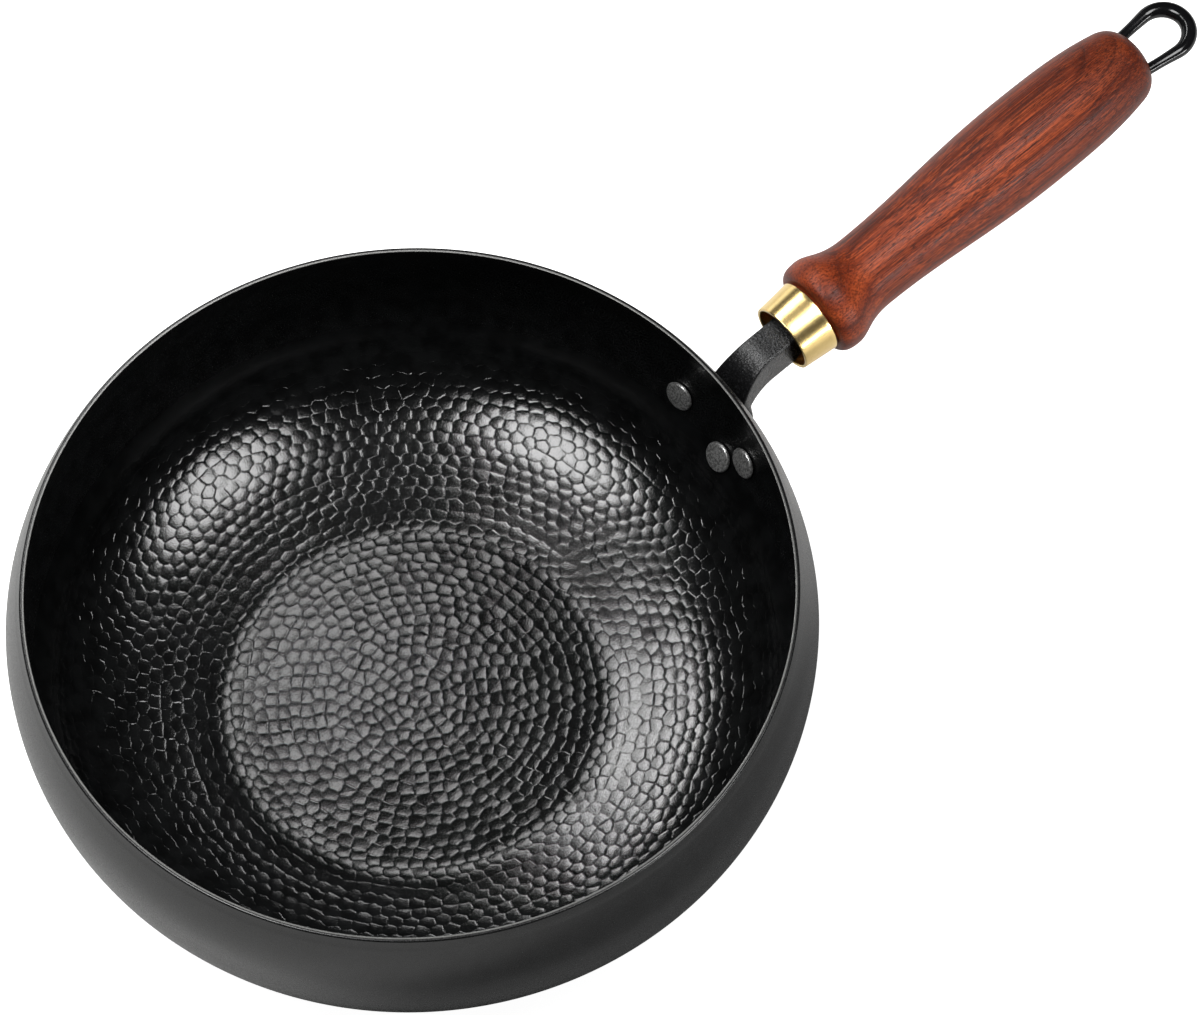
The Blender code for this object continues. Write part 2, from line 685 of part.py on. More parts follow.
def leg_bores():
    """Two drilled holes in the end grain, along the legs."""
    points = loop_points()
    frame = handle_frame()
    cutters = []
    for name, inner, outer in (("bore_leg_left", *points[:2]), ("bore_leg_right", *points[:-3:-1])):
        along = (outer - inner).normalized()
        start = frame @ (inner - along * GAP)
        end = frame @ (inner + along * (LOOP_LEG_DEPTH + LOOP_REACH / 2))
        cutters.append(cutting_rod(name, start, end, LOOP_LEG_WIRE_RADIUS + GAP, 16))
    return cutters


def main():
    clear_scene()
    rivets = [
        Rivet("rivet_left", LEFT_RIVET_ASIDE, UPPER_RIVETS_BELOW_RIM),
        Rivet("rivet_right", -RIGHT_RIVET_ASIDE, UPPER_RIVETS_BELOW_RIM),
        Rivet("rivet_lower", -LOWER_RIVET_ASIDE, LOWER_RIVET_BELOW_RIM),
    ]
    shell = build_shell()
    bracket = Bracket(rivets).build()
    for rivet in rivets:
        bore = rivet.bore()
        cut(shell, bore)
        cut(bracket, bore)
    grip = build_grip()
    for bore in leg_bores():
        cut(grip, bore)
    paint(shell, (0.012, 0.012, 0.013), 0.38, 0.6)
    paint(bracket, (0.014, 0.014, 0.015), 0.55, 0.3)
    for rivet in rivets:
        paint(rivet.build(), (0.16, 0.16, 0.16), 0.4, 0.9)
    paint(build_ferrule(), (0.79, 0.56, 0.22), 0.25, 1.0)
    paint(grip, (0.24, 0.055, 0.022), 0.4, 0.0)
    paint(build_loop(), (0.013, 0.013, 0.014), 0.35, 0.4)


main()
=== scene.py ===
"""Looks of a flat-based iron wok: hammered inside, riveted bracket, brass ferrule and turned wooden handle.

Everything is in metres, in the frame of the solids: the origin is on the turning axis of the wok, in the
plane of its underside, the handle points along +X and +Z is up. Shapes are surfaces worked out as whole
arrays, and each class holds the sizes of one sub-assembly.
"""

import logging
import math
from dataclasses import dataclass, field, replace
from enum import Enum

import bpy
import numpy as np
from mathutils import Matrix, Vector
from mathutils.geometry import delaunay_2d_cdt


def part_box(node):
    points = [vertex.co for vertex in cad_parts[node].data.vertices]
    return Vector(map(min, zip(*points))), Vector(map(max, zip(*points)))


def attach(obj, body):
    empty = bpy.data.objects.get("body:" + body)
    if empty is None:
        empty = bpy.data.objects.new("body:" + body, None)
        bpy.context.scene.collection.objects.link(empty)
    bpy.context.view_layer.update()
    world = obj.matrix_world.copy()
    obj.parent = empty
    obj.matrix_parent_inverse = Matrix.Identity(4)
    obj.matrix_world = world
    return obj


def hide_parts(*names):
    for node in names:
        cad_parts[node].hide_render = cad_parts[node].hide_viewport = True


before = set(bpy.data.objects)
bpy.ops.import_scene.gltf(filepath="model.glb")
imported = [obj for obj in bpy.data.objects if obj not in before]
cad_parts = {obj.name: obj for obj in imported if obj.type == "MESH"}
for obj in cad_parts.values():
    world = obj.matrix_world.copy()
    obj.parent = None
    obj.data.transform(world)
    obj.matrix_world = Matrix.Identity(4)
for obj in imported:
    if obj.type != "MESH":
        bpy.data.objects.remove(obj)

LOG = logging.getLogger("wok")
BODY = "root"

# Clearance between pieces that touch, and the height of the rim above the underside.
GAP = 0.0003
TOTAL_HEIGHT = float(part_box("pan_body")[1].z)

# Camera: place, and the directions of the image's right side, its top and the view.
CAMERA_PLACE = (-0.7314, -1.0214, 2.5159)
CAMERA_RIGHT = (0.75904, -0.65088, -0.01473)
CAMERA_UP = (0.57989, 0.66563, 0.46974)
CAMERA_VIEW = (0.29594, 0.36510, -0.88268)
CAMERA_LENS = 210.0
CAMERA_SENSOR = 36.0

# Least length, and least product of lengths, to divide by.
SMALL = 1e-9
TINY = 1e-15

WHITE = (1.0, 1.0, 1.0, 1.0)

Pair = tuple[float, float]
Triple = tuple[float, float, float]
Span = tuple[float, float, float, float]
Array = np.ndarray
Piece = bpy.types.Object
Socket = bpy.types.NodeSocket


class Slot(Enum):
    """Names of the record's material slots; each piece is passed one, but nothing reads it."""

    IRON = "iron_body"
    BRACKET = "bracket_steel"
    RIVET = "rivet_steel"
    BRASS = "ferrule_brass"
    WOOD = "grip_wood"
    WIRE = "loop_wire"


class Step(Enum):
    """The two ways in which a profile closes when it is turned."""

    POLES = "starts and ends on the axis"
    RING = "closes on itself away from the axis"


def blend(value: Array | float, start: float, end: float) -> Array:
    """Smooth step t*t*(3 - 2t) from 0 at start to 1 at end, with t cut to 0..1."""
    t = np.clip((np.asarray(value, dtype=float) - start) / (end - start), 0.0, 1.0)
    return t * t * (3.0 - 2.0 * t)


def bezier(start: Array, first: Array, second: Array, end: Array, count: int) -> Array:
    """Points along a cubic curve, both ends included.

    Formula: (1-t)^3 start + 3 (1-t)^2 t first + 3 (1-t) t^2 second + t^3 end, with t even from 0 to 1.

    Args:
        start: first end.
        first: point that the curve heads for as it leaves the start.
        second: point that it comes from as it reaches the end.
        end: last end.
        count: number of points.

    Returns:
        Array of count rows.
    """
    t = np.linspace(0.0, 1.0, count)[:, None]
    s = 1.0 - t
    corners = [np.asarray(p, dtype=float) for p in (start, first, second, end)]
    return s**3 * corners[0] + 3 * s * s * t * corners[1] + 3 * s * t * t * corners[2] + t**3 * corners[3]


def arc_lengths(points: Array) -> Array:
    """Running length along a line of points, nought at the first."""
    return np.concatenate([[0.0], np.cumsum(np.linalg.norm(np.diff(points, axis=0), axis=1))])


def read_line(at: Array | float, stations: Array, points: Array) -> Array:
    """Points of a line at new stations, each between the two given points beside it."""
    return np.stack([np.interp(at, stations, points[:, k]) for k in range(points.shape[1])], axis=-1)


def evenly(points: Array, count: int) -> Array:
    """The same line read again at count even arc lengths."""
    length = arc_lengths(points)
    return read_line(np.linspace(0.0, length[-1], count), length, points)


def unit(vectors: Array) -> Array:
    """The vectors, each divided by its length."""
    return vectors / np.linalg.norm(vectors, axis=-1, keepdims=True)


def round_circle(steps: int) -> Array:
    """Even angles all round."""
    return np.linspace(0.0, 2 * math.pi, steps, endpoint=False)


def fan(middle: int, first: int, steps: int) -> Array:
    """Triangles from a middle point to a ring of points that are numbered on from the first."""
    here = np.arange(steps)
    return np.stack([np.full(steps, middle), first + here, first + (here + 1) % steps], axis=1)


def about_axis(radius: Array | float, turn: Array, height: Array | float) -> Array:
    """Points at a radius, an angle about Z and a height."""
    radius, turn, height = np.broadcast_arrays(radius, turn, height)
    return np.stack([radius * np.cos(turn), radius * np.sin(turn), height], axis=-1)


def arc_points(centre: Pair, radius: float, start: float, end: float, count: int) -> Array:
    """Points centre + radius (cos a, sin a) in the profile plane, a in degrees from start to end."""
    turn = np.radians(np.linspace(start, end, count))
    return np.stack([centre[0] + radius * np.cos(turn), centre[1] + radius * np.sin(turn)], axis=1)


def ripple(points: Array, wavelength: float, seed: int, waves: int = 7) -> Array:
    """Smooth irregular field between about -1 and 1.

    Formula: the mean of plane waves cos(k . p + phase) with seeded directions and phases and wave lengths
    spread about the one given, scaled by the root of their number.

    Args:
        points: rows of coordinates.
        wavelength: middle wave length, in the coordinates' unit.
        seed: seed of directions and phases.
        waves: number of plane waves.

    Returns:
        One value for each row.
    """
    draw = np.random.default_rng(seed)
    heading = unit(draw.normal(size=(waves, points.shape[-1])))
    number = 2 * math.pi / (wavelength * draw.uniform(0.7, 1.4, waves))
    phase = draw.uniform(0.0, 2 * math.pi, waves)
    angles = points @ (heading * number[:, None]).T + phase
    return np.cos(angles).sum(axis=-1) * math.sqrt(2.0 / waves) * 0.6


def mesh_object(name: str, points: Array, faces: list[Array]) -> Piece:
    """A smooth-shaded mesh object at the origin.

    Args:
        name: the piece's name.
        points: rows of x, y, z.
        faces: arrays of point numbers, one face in a row, each array with its own number of corners.

    Returns:
        The object, linked to the scene.
    """
    sizes = np.concatenate([np.full(len(f), f.shape[1]) for f in faces])
    corners = np.concatenate([f.ravel() for f in faces]).astype(np.int32)
    starts = np.concatenate([[0], np.cumsum(sizes)[:-1]]).astype(np.int32)
    mesh = bpy.data.meshes.new(name)
    mesh.vertices.add(len(points))
    mesh.vertices.foreach_set("co", np.ascontiguousarray(points, dtype=np.float32).ravel())
    mesh.loops.add(len(corners))
    mesh.loops.foreach_set("vertex_index", corners)
    mesh.polygons.add(len(sizes))
    mesh.polygons.foreach_set("loop_start", starts)
    mesh.update(calc_edges=True)
    mesh.shade_smooth()
    obj = bpy.data.objects.new(name, mesh)
    bpy.context.scene.collection.objects.link(obj)
    return obj


def grid_quads(rows: int, columns: int, wrap_rows: bool, wrap_columns: bool) -> Array:
    """Quads of a grid of points numbered row by row, wound down the rows first and then across."""
    down = np.arange(rows if wrap_rows else rows - 1)[:, None]
    across = np.arange(columns if wrap_columns else columns - 1)[None, :]
    beside = (across + 1) % columns
    here, below = down * columns, (down + 1) % rows * columns
    corners = [here + across, below + across, below + beside, here + beside]
    return np.stack(corners, axis=-1).reshape(-1, 4)


def turned(
    name: str, profile: Array, steps: int, placing: Matrix | None = None, closing: Step = Step.POLES,
) -> Piece:
    """A solid of revolution about Z.

    Formula: point(i, j) = (r(i) cos a(j), r(i) sin a(j), z(i)), with a(j) even round the circle. The profile
    runs up a hollow side and down an outer side, so that the faces point outwards.

    Args:
        name: the piece's name.
        profile: rows of radius and height.
        steps: number of points round the circle.
        placing: frame that the solid is put into.
        closing: whether the profile ends on the axis or closes on itself.

    Returns:
        The object.
    """
    turn = round_circle(steps)
    rows = profile[1:-1] if closing is Step.POLES else profile
    points = about_axis(rows[:, :1], turn, rows[:, 1:]).reshape(-1, 3)
    faces = [grid_quads(len(rows), steps, closing is Step.RING, True)]
    if closing is Step.POLES:
        count = len(points)
        points = np.concatenate([points, [[0.0, 0.0, profile[0, 1]], [0.0, 0.0, profile[-1, 1]]]])
        faces.append(fan(count, 0, steps))
        faces.append(fan(count + 1, count - steps, steps)[:, [1, 0, 2]])
    if placing is not None:
        points = placed(points, placing)
    return mesh_object(name, points, faces)


def placed(points: Array, placing: Matrix) -> Array:
    """The points carried into a frame."""
    turn = np.array(placing.to_3x3())
    return points @ turn.T + np.array(placing.translation)


def shade(colour: Triple, factor: float = 1.0) -> tuple[float, ...]:
    """A colour times a factor, with full alpha."""
    return (*(factor * c for c in colour), 1.0)


class NodeBoard:
    """Adds and joins the nodes of one tree."""

    def __init__(self, tree: bpy.types.NodeTree) -> None:
        """Takes the tree to work on."""
        self.tree = tree

    def add(self, kind: str, inputs: dict | None = None, **settings: object) -> bpy.types.Node:
        """Adds a node.

        Args:
            kind: the node's type without its ShaderNode prefix, or its full type.
            inputs: value or source socket for each input, by name or number.
            settings: the node's own properties.

        Returns:
            The node.
        """
        full = kind if kind.startswith("Node") else "ShaderNode" + kind
        node = self.tree.nodes.new(full)
        for name, value in settings.items():
            setattr(node, name, value)
        for key, value in (inputs or {}).items():
            if isinstance(value, bpy.types.NodeSocket):
                self.tree.links.new(value, node.inputs[key])
            else:
                node.inputs[key].default_value = value
        return node

    def sum(self, first: object, second: object, operation: str = "ADD") -> Socket:
        """Sum of two values, or the result of another operation of the Math node."""
        return self.add("Math", {0: first, 1: second}, operation=operation).outputs[0]

    def times(self, first: object, second: object) -> Socket:
        """Product of two values."""
        return self.sum(first, second, "MULTIPLY")

    def mix(self, share: object, low: object, high: object) -> Socket:
        """Colour between low and high."""
        node = self.add("Mix", {0: share, 6: low, 7: high}, data_type="RGBA")
        return node.outputs[2]

    def span(self, value: object, low: float, high: float, to_low: float, to_high: float) -> Socket:
        """Value carried from low..high to to_low..to_high and held there, on a smooth step."""
        inputs = {0: value, 1: low, 2: high, 3: to_low, 4: to_high}
        return self.add("MapRange", inputs, interpolation_type="SMOOTHSTEP").outputs[0]

    def noise(self, place: object, scale: object, detail: float = 2.0, roughness: object = 0.5) -> Socket:
        """Value of a Noise texture with features of about 1/scale metres."""
        inputs = {"Vector": place, "Scale": scale, "Detail": detail, "Roughness": roughness}
        return self.add("TexNoise", inputs).outputs[0]

    def place(self, turn: Matrix | None = None, scale: Triple = (1.0, 1.0, 1.0)) -> Socket:
        """Object coordinates, carried into a frame and then stretched.

        Args:
            turn: frame whose axes the pattern follows; none leaves the object's own.
            scale: factor along each axis of that frame.

        Returns:
            The vector's socket.
        """
        start = self.add("TexCoord").outputs["Object"]
        if turn is not None:
            back = turn.inverted()
            inputs = {"Vector": start, "Location": back.translation, "Rotation": back.to_euler()}
            start = self.add("Mapping", inputs).outputs[0]
        if scale == (1.0, 1.0, 1.0):
            return start
        return self.add("Mapping", {"Vector": start, "Scale": scale}).outputs[0]

    def surface(
        self, shader: bpy.types.Node, colour: Socket, rough: Socket, height: Socket, distance: float,
        strength: float = 1.0,
    ) -> None:
        """Joins a base colour, a roughness and a bump to a shader.

        Args:
            shader: the material's shader.
            colour: its base colour.
            rough: its roughness.
            height: the bump's height as a plain number.
            distance: metres that a height of 1 stands for.
            strength: the bump's strength.
        """
        bump = self.add("Bump", {"Height": height, "Distance": distance, "Strength": strength})
        for name, value in (("Base Color", colour), ("Roughness", rough), ("Normal", bump.outputs[0])):
            self.tree.links.new(value, shader.inputs[name])


def new_material(name: str) -> tuple[bpy.types.Material, NodeBoard, bpy.types.Node]:
    """An empty material, the board of its tree and its Principled shader."""
    material = bpy.data.materials.new(name)
    material.use_nodes = True
    tree = material.node_tree
    shader = tree.nodes["Principled BSDF"]
    return material, NodeBoard(tree), shader


class SharedEffects:
    """Effects that several finishes use, each built once as a node group."""

    @staticmethod
    def group(
        name: str, inputs: list[tuple[str, float]], outputs: list[str],
    ) -> tuple[bpy.types.NodeTree, NodeBoard, bpy.types.Node, bpy.types.Node]:
        """An empty group with plain number sockets.

        Args:
            name: the group's name.
            inputs: name and starting value of each input.
            outputs: names of the outputs.

        Returns:
            The tree, its board, and the nodes that hold its inputs and outputs.
        """
        tree = bpy.data.node_groups.new(name, "ShaderNodeTree")
        for label, value in inputs:
            socket = tree.interface.new_socket(label, in_out="INPUT", socket_type="NodeSocketFloat")
            socket.default_value = value
        for label in outputs:
            tree.interface.new_socket(label, in_out="OUTPUT", socket_type="NodeSocketFloat")
        board = NodeBoard(tree)
        return tree, board, board.add("NodeGroupInput"), board.add("NodeGroupOutput")

    @classmethod
    def mottle(cls) -> bpy.types.NodeTree:
        """Fine and broad irregular spots in the object's own space.

        Fine is noise at Size, Broad is noise twelve times as large, and Height is their weighted sum.
        """
        name = "fine_mottle"
        if name in bpy.data.node_groups:
            return bpy.data.node_groups[name]
        starting = [("Size", 0.0006), ("Sharpness", 0.5)]
        tree, board, entry, exit_ = cls.group(name, starting, ["Fine", "Broad", "Height"])
        place = board.place()
        rate = board.sum(1.0, entry.outputs["Size"], "DIVIDE")
        fine = board.noise(place, rate, 3.0, entry.outputs["Sharpness"])
        broad = board.noise(place, board.sum(rate, 12.0, "DIVIDE"), 2.0, 0.5)
        height = board.sum(fine, board.times(broad, 0.6))
        for label, value in (("Fine", fine), ("Broad", broad), ("Height", height)):
            tree.links.new(value, exit_.inputs[label])
        return tree

    @classmethod
    def spots(cls, board: NodeBoard, size: float, sharpness: float) -> bpy.types.Node:
        """Places the mottle in a material's tree."""
        return board.add("Group", {"Size": size, "Sharpness": sharpness}, node_tree=cls.mottle())


@dataclass(frozen=True)
class MottledFinish:
    """A finish whose tone, roughness and height follow the shared mottle.

    The tone goes from the first shade to the second across its band, and the roughness by its two plays
    across its own. The bare lip is asked for by its inner radius, outer radius and least height.
    """

    name: str
    colour: Triple
    shades: Pair
    shade_band: Pair
    roughness: float
    roughness_play: Pair
    rough_band: Pair
    size: float
    height: float
    sharpness: float
    toned_by: str = "Fine"
    raised_by: str = "Height"
    metal: float = 0.0
    specular: float = 0.5
    lip: Triple | None = None
    lip_colour: Triple = (0.16, 0.16, 0.155)
    lip_roughness: float = 0.32
    lip_metal: float = 0.6
    lip_edge: float = 0.0001
    lip_worn_rate: float = 900.0
    lip_worn: float = 0.0002

    def bare_lip(self, board: NodeBoard) -> Socket:
        """Mask of the rim's ground face: 1 between two radii, where the height is above a third value."""
        inner, outer, low = self.lip
        soft = self.lip_edge
        split = board.add("SeparateXYZ", {0: board.place()})
        square = board.sum(*(board.sum(split.outputs[k], 2.0, "POWER") for k in range(2)))
        radius = board.sum(square, 0.5, "POWER")
        worn = board.times(board.noise(board.place(), self.lip_worn_rate), self.lip_worn)
        beyond_inner = board.span(radius, inner - soft, inner + soft, 0.0, 1.0)
        within_outer = board.span(board.sum(radius, worn), outer - soft, outer + soft, 1.0, 0.0)
        above = board.span(split.outputs[2], low, low + soft, 0.0, 1.0)
        return board.times(board.times(beyond_inner, within_outer), above)

    def material(self) -> bpy.types.Material:
        """Joins the mottle to the shader, with a bare lip where one is asked for."""
        material, board, shader = new_material(self.name)
        shader.inputs["Specular IOR Level"].default_value = self.specular
        shader.inputs["Metallic"].default_value = self.metal
        spots = SharedEffects.spots(board, self.size, self.sharpness).outputs
        tone = board.span(spots[self.toned_by], *self.shade_band, 0.0, 1.0)
        colour = board.mix(tone, *(shade(self.colour, factor) for factor in self.shades))
        ends = (self.roughness + play for play in self.roughness_play)
        rough = board.span(spots["Fine"], *self.rough_band, *ends)
        if self.lip is not None:
            bare = self.bare_lip(board)
            colour = board.mix(bare, colour, shade(self.lip_colour))
            rough = board.sum(rough, board.times(bare, self.lip_roughness - self.roughness))
            board.tree.links.new(board.times(bare, self.lip_metal), shader.inputs["Metallic"])
        board.surface(shader, colour, rough, spots[self.raised_by], self.height)
        return material


# Seasoned black iron: a thin dark oxide with a soft gloss and a fine mottled grain.
IRON = MottledFinish(
    "hammered_iron", colour=(0.0030, 0.0032, 0.0033), shades=(0.7, 1.5), shade_band=(0.35, 0.65),
    roughness=0.145, roughness_play=(-0.035, 0.035), rough_band=(0.3, 0.7),
    size=0.00065, height=0.000042, sharpness=0.55, toned_by="Broad",
)
# Black powder coat with small bumps. Their raised spots are painted up to 4.5 times lighter, partly a
# speckled tone and partly a painted glint on each bump.
POWDER = MottledFinish(
    "powder_black", colour=(0.0040, 0.0040, 0.0043), shades=(1.0, 4.5), shade_band=(0.50, 0.70),
    roughness=0.24, roughness_play=(0.10, -0.08), rough_band=(0.35, 0.65),
    size=0.00095, height=0.00026, sharpness=0.6, raised_by="Fine", specular=0.42,
)
# Dull grey steel with darker pits and uneven roughness.
STEEL = MottledFinish(
    "rivet_grey", colour=(0.70, 0.70, 0.69), shades=(0.3, 1.0), shade_band=(0.35, 0.65),
    roughness=0.33, roughness_play=(0.08, -0.06), rough_band=(0.3, 0.7),
    size=0.0009, height=0.00020, sharpness=0.6, metal=0.74,
)
# Gloss black enamel with faint waves and dust.
ENAMEL = MottledFinish(
    "gloss_black", colour=(0.004, 0.004, 0.0045), shades=(1.0, 1.8), shade_band=(0.4, 0.7),
    roughness=0.13, roughness_play=(-0.02, 0.03), rough_band=(0.3, 0.7),
    size=0.0009, height=0.000008, sharpness=0.5, toned_by="Broad", raised_by="Broad", specular=0.35,
)


@dataclass(frozen=True)
class BrassFinish:
    """Satin brass, brushed round the tube, warmer and duller where it was handled."""

    placing: Matrix
    name: str = "satin_brass"
    colour: Triple = (0.83, 0.62, 0.27)
    warm: Triple = (0.62, 0.40, 0.13)
    roughness: float = 0.24
    roughness_play: Pair = (0.02, 0.03)
    line_rate: Triple = (60.0, 60.0, 9000.0)
    line_band: Pair = (0.3, 0.7)
    line_share: float = 0.12
    line_height: float = 0.0000015
    cloud_rate: float = 260.0
    cloud_band: Pair = (0.35, 0.7)
    cloud_share: float = 0.20

    def material(self) -> bpy.types.Material:
        """Metal whose fine lines run round the axis."""
        material, board, shader = new_material(self.name)
        lines = board.noise(board.place(self.placing, self.line_rate), 1.0, 3.0, 0.6)
        cloud = board.noise(board.place(), self.cloud_rate, 3.0, 0.55)
        clouded = board.span(cloud, *self.cloud_band, 0.0, self.cloud_share)
        tone = board.sum(clouded, board.span(lines, *self.line_band, 0.0, self.line_share))
        colour = board.mix(tone, shade(self.colour), shade(self.warm))
        less, more = self.roughness_play
        rough = board.span(lines, *self.line_band, self.roughness - less, self.roughness + more)
        board.surface(shader, colour, rough, lines, self.line_height)
        shader.inputs["Metallic"].default_value = 1.0
        return material


@dataclass(frozen=True)
class WoodFinish:
    """Oiled red-brown wood cut across its growth layers, with long fibres and open pores.

    Each rate gives the features in a metre along the three axes of the handle's frame.
    """

    placing: Matrix
    name: str = "oiled_redwood"
    light: Triple = (0.440, 0.080, 0.021)
    middle: Triple = (0.195, 0.029, 0.008)
    dark: Triple = (0.024, 0.005, 0.003)
    layer: float = 0.0030
    layers_in_group: float = 3.2
    layer_bend: float = 0.0040
    layer_waver: float = 0.05
    layer_lean: float = 0.030
    pith: Pair = (0.026, -0.012)
    plain_bead: Pair = (0.028, 0.046)
    bead_share: float = 0.3
    dark_tail: Pair = (0.125, 0.190)
    tail_share: float = 0.55
    bend_rate: Triple = (45.0, 45.0, 9.0)
    waver_rate: Triple = (420.0, 420.0, 40.0)
    tone_rate: Triple = (75.0, 75.0, 9.0)
    streak_rate: Triple = (900.0, 900.0, 14.0)
    fibre_rate: Triple = (3200.0, 3200.0, 34.0)
    dot_rate: Triple = (1350.0, 1350.0, 850.0)
    pore_rate: Triple = (2600.0, 2600.0, 330.0)
    pore_share: float = 0.7
    band_stops: tuple[float, ...] = (0.0, 0.35, 0.70, 0.90, 1.0)
    tone_span: Span = (0.35, 0.65, 0.35, 0.85)
    bright_span: Span = (0.47, 0.60, 0.0, 0.65)
    thin_span: Span = (0.42, 0.52, 0.85, 0.0)
    line_span: Span = (0.0, 0.26, 1.0, 0.0)
    line_strength: Span = (0.40, 0.66, 0.70, 0.20)
    dot_span: Span = (0.47, 0.60, 0.0, 1.0)
    dot_shares: Pair = (0.72, 0.24)
    pore_span: Span = (0.62, 0.68, 0.0, 1.0)
    roughness: Pair = (0.36, 0.50)
    grain_height: float = 0.00008
    specular: float = 0.22

    def grain(self, board: NodeBoard, rate: Triple, detail: float, roughness: float) -> Socket:
        """Noise in the handle's frame at one of the rates."""
        return board.noise(board.place(self.placing, rate), 1.0, detail, roughness)

    def layers(self, board: NodeBoard) -> tuple[Socket, Socket]:
        """Growth layers as bands of the distance to a line beside the grip, bent by slow noise.

        Args:
            board: board of the material's tree.

        Returns:
            Two values that run from 0 to 1, one across each layer and one across each group of layers.
        """
        bend = self.grain(board, self.bend_rate, 2.0, 0.5)
        waver = self.grain(board, self.waver_rate, 2.0, 0.5)
        split = board.add("SeparateXYZ", {0: board.place(self.placing)})
        across = board.sum(split.outputs[0], self.pith[0], "SUBTRACT")
        aside = board.sum(split.outputs[1], self.pith[1], "SUBTRACT")
        across = board.sum(across, board.times(split.outputs[2], self.layer_lean))
        reach = board.sum(board.sum(across, 2.0, "POWER"), board.sum(aside, 2.0, "POWER"))
        reach = board.sum(reach, 0.5, "POWER")
        reach = board.sum(reach, board.times(bend, self.layer_bend))
        reach = board.sum(reach, board.times(waver, self.layer_waver * self.layer))
        widths = (self.layer, self.layers_in_group * self.layer)
        counts = [board.sum(reach, width, "DIVIDE") for width in widths]
        single, group = (board.add("Math", {0: count}, operation="FRACT").outputs[0] for count in counts)
        return single, group

    def bands(self, board: NodeBoard, group: Socket) -> Socket:
        """Colour across a group of layers, from the middle tone to the light and the dark one and back."""
        ramp = board.add("ValToRGB", {0: group})
        ramp.color_ramp.interpolation = "EASE"
        colours = (self.middle, self.light, self.middle, self.dark, self.middle)
        stops = list(zip(self.band_stops, colours))
        while len(ramp.color_ramp.elements) < len(stops):
            ramp.color_ramp.elements.new(0.5)
        for element, (at, colour) in zip(ramp.color_ramp.elements, stops):
            element.position = at
            element.color = shade(colour)
        return ramp.outputs[0]

    def material(self) -> bpy.types.Material:
        """Layers with thin dark ends, streaks, fibres, dots and pores, all under a slow change of tone.

        The bead has fewer lines and more dots than the rest, and the tail is darker.
        """
        material, board, shader = new_material(self.name)
        single, group = self.layers(board)
        tone = self.grain(board, self.tone_rate, 3.0, 0.55)
        evened = board.span(tone, *self.tone_span)
        base = board.mix(evened, self.bands(board, group), shade(self.middle))
        along = board.add("SeparateXYZ", {0: board.place(self.placing)}).outputs[2]
        body = board.span(along, *self.plain_bead, self.bead_share, 1.0)
        streak = self.grain(board, self.streak_rate, 3.0, 0.65)
        bright = board.times(board.span(streak, *self.bright_span), body)
        base = board.mix(bright, base, shade(self.light))
        fibre = self.grain(board, self.fibre_rate, 3.0, 0.7)
        thin = board.times(board.span(fibre, *self.thin_span), body)
        base = board.mix(thin, base, shade(self.dark))
        strength = board.span(streak, *self.line_strength)
        line = board.times(board.times(board.span(single, *self.line_span), strength), body)
        base = board.mix(line, base, shade(self.dark))
        darkened = board.span(along, *self.dark_tail, 0.0, self.tail_share)
        base = board.mix(darkened, base, shade(self.dark, 2.2))
        dots = board.span(self.grain(board, self.dot_rate, 2.0, 0.6), *self.dot_span)
        dotted = board.times(dots, board.span(along, *self.plain_bead, *self.dot_shares))
        base = board.mix(dotted, base, shade(self.middle, 0.35))
        pore = board.span(self.grain(board, self.pore_rate, 1.0, 0.5), *self.pore_span)
        colour = board.mix(board.times(pore, self.pore_share), base, shade(self.dark, 0.6))
        rough = board.span(fibre, 0.3, 0.7, *self.roughness)
        height = board.sum(board.times(fibre, 0.45), board.sum(pore, line), "SUBTRACT")
        board.surface(shader, colour, rough, height, self.grain_height, 0.8)
        shader.inputs["Specular IOR Level"].default_value = self.specular
        return material


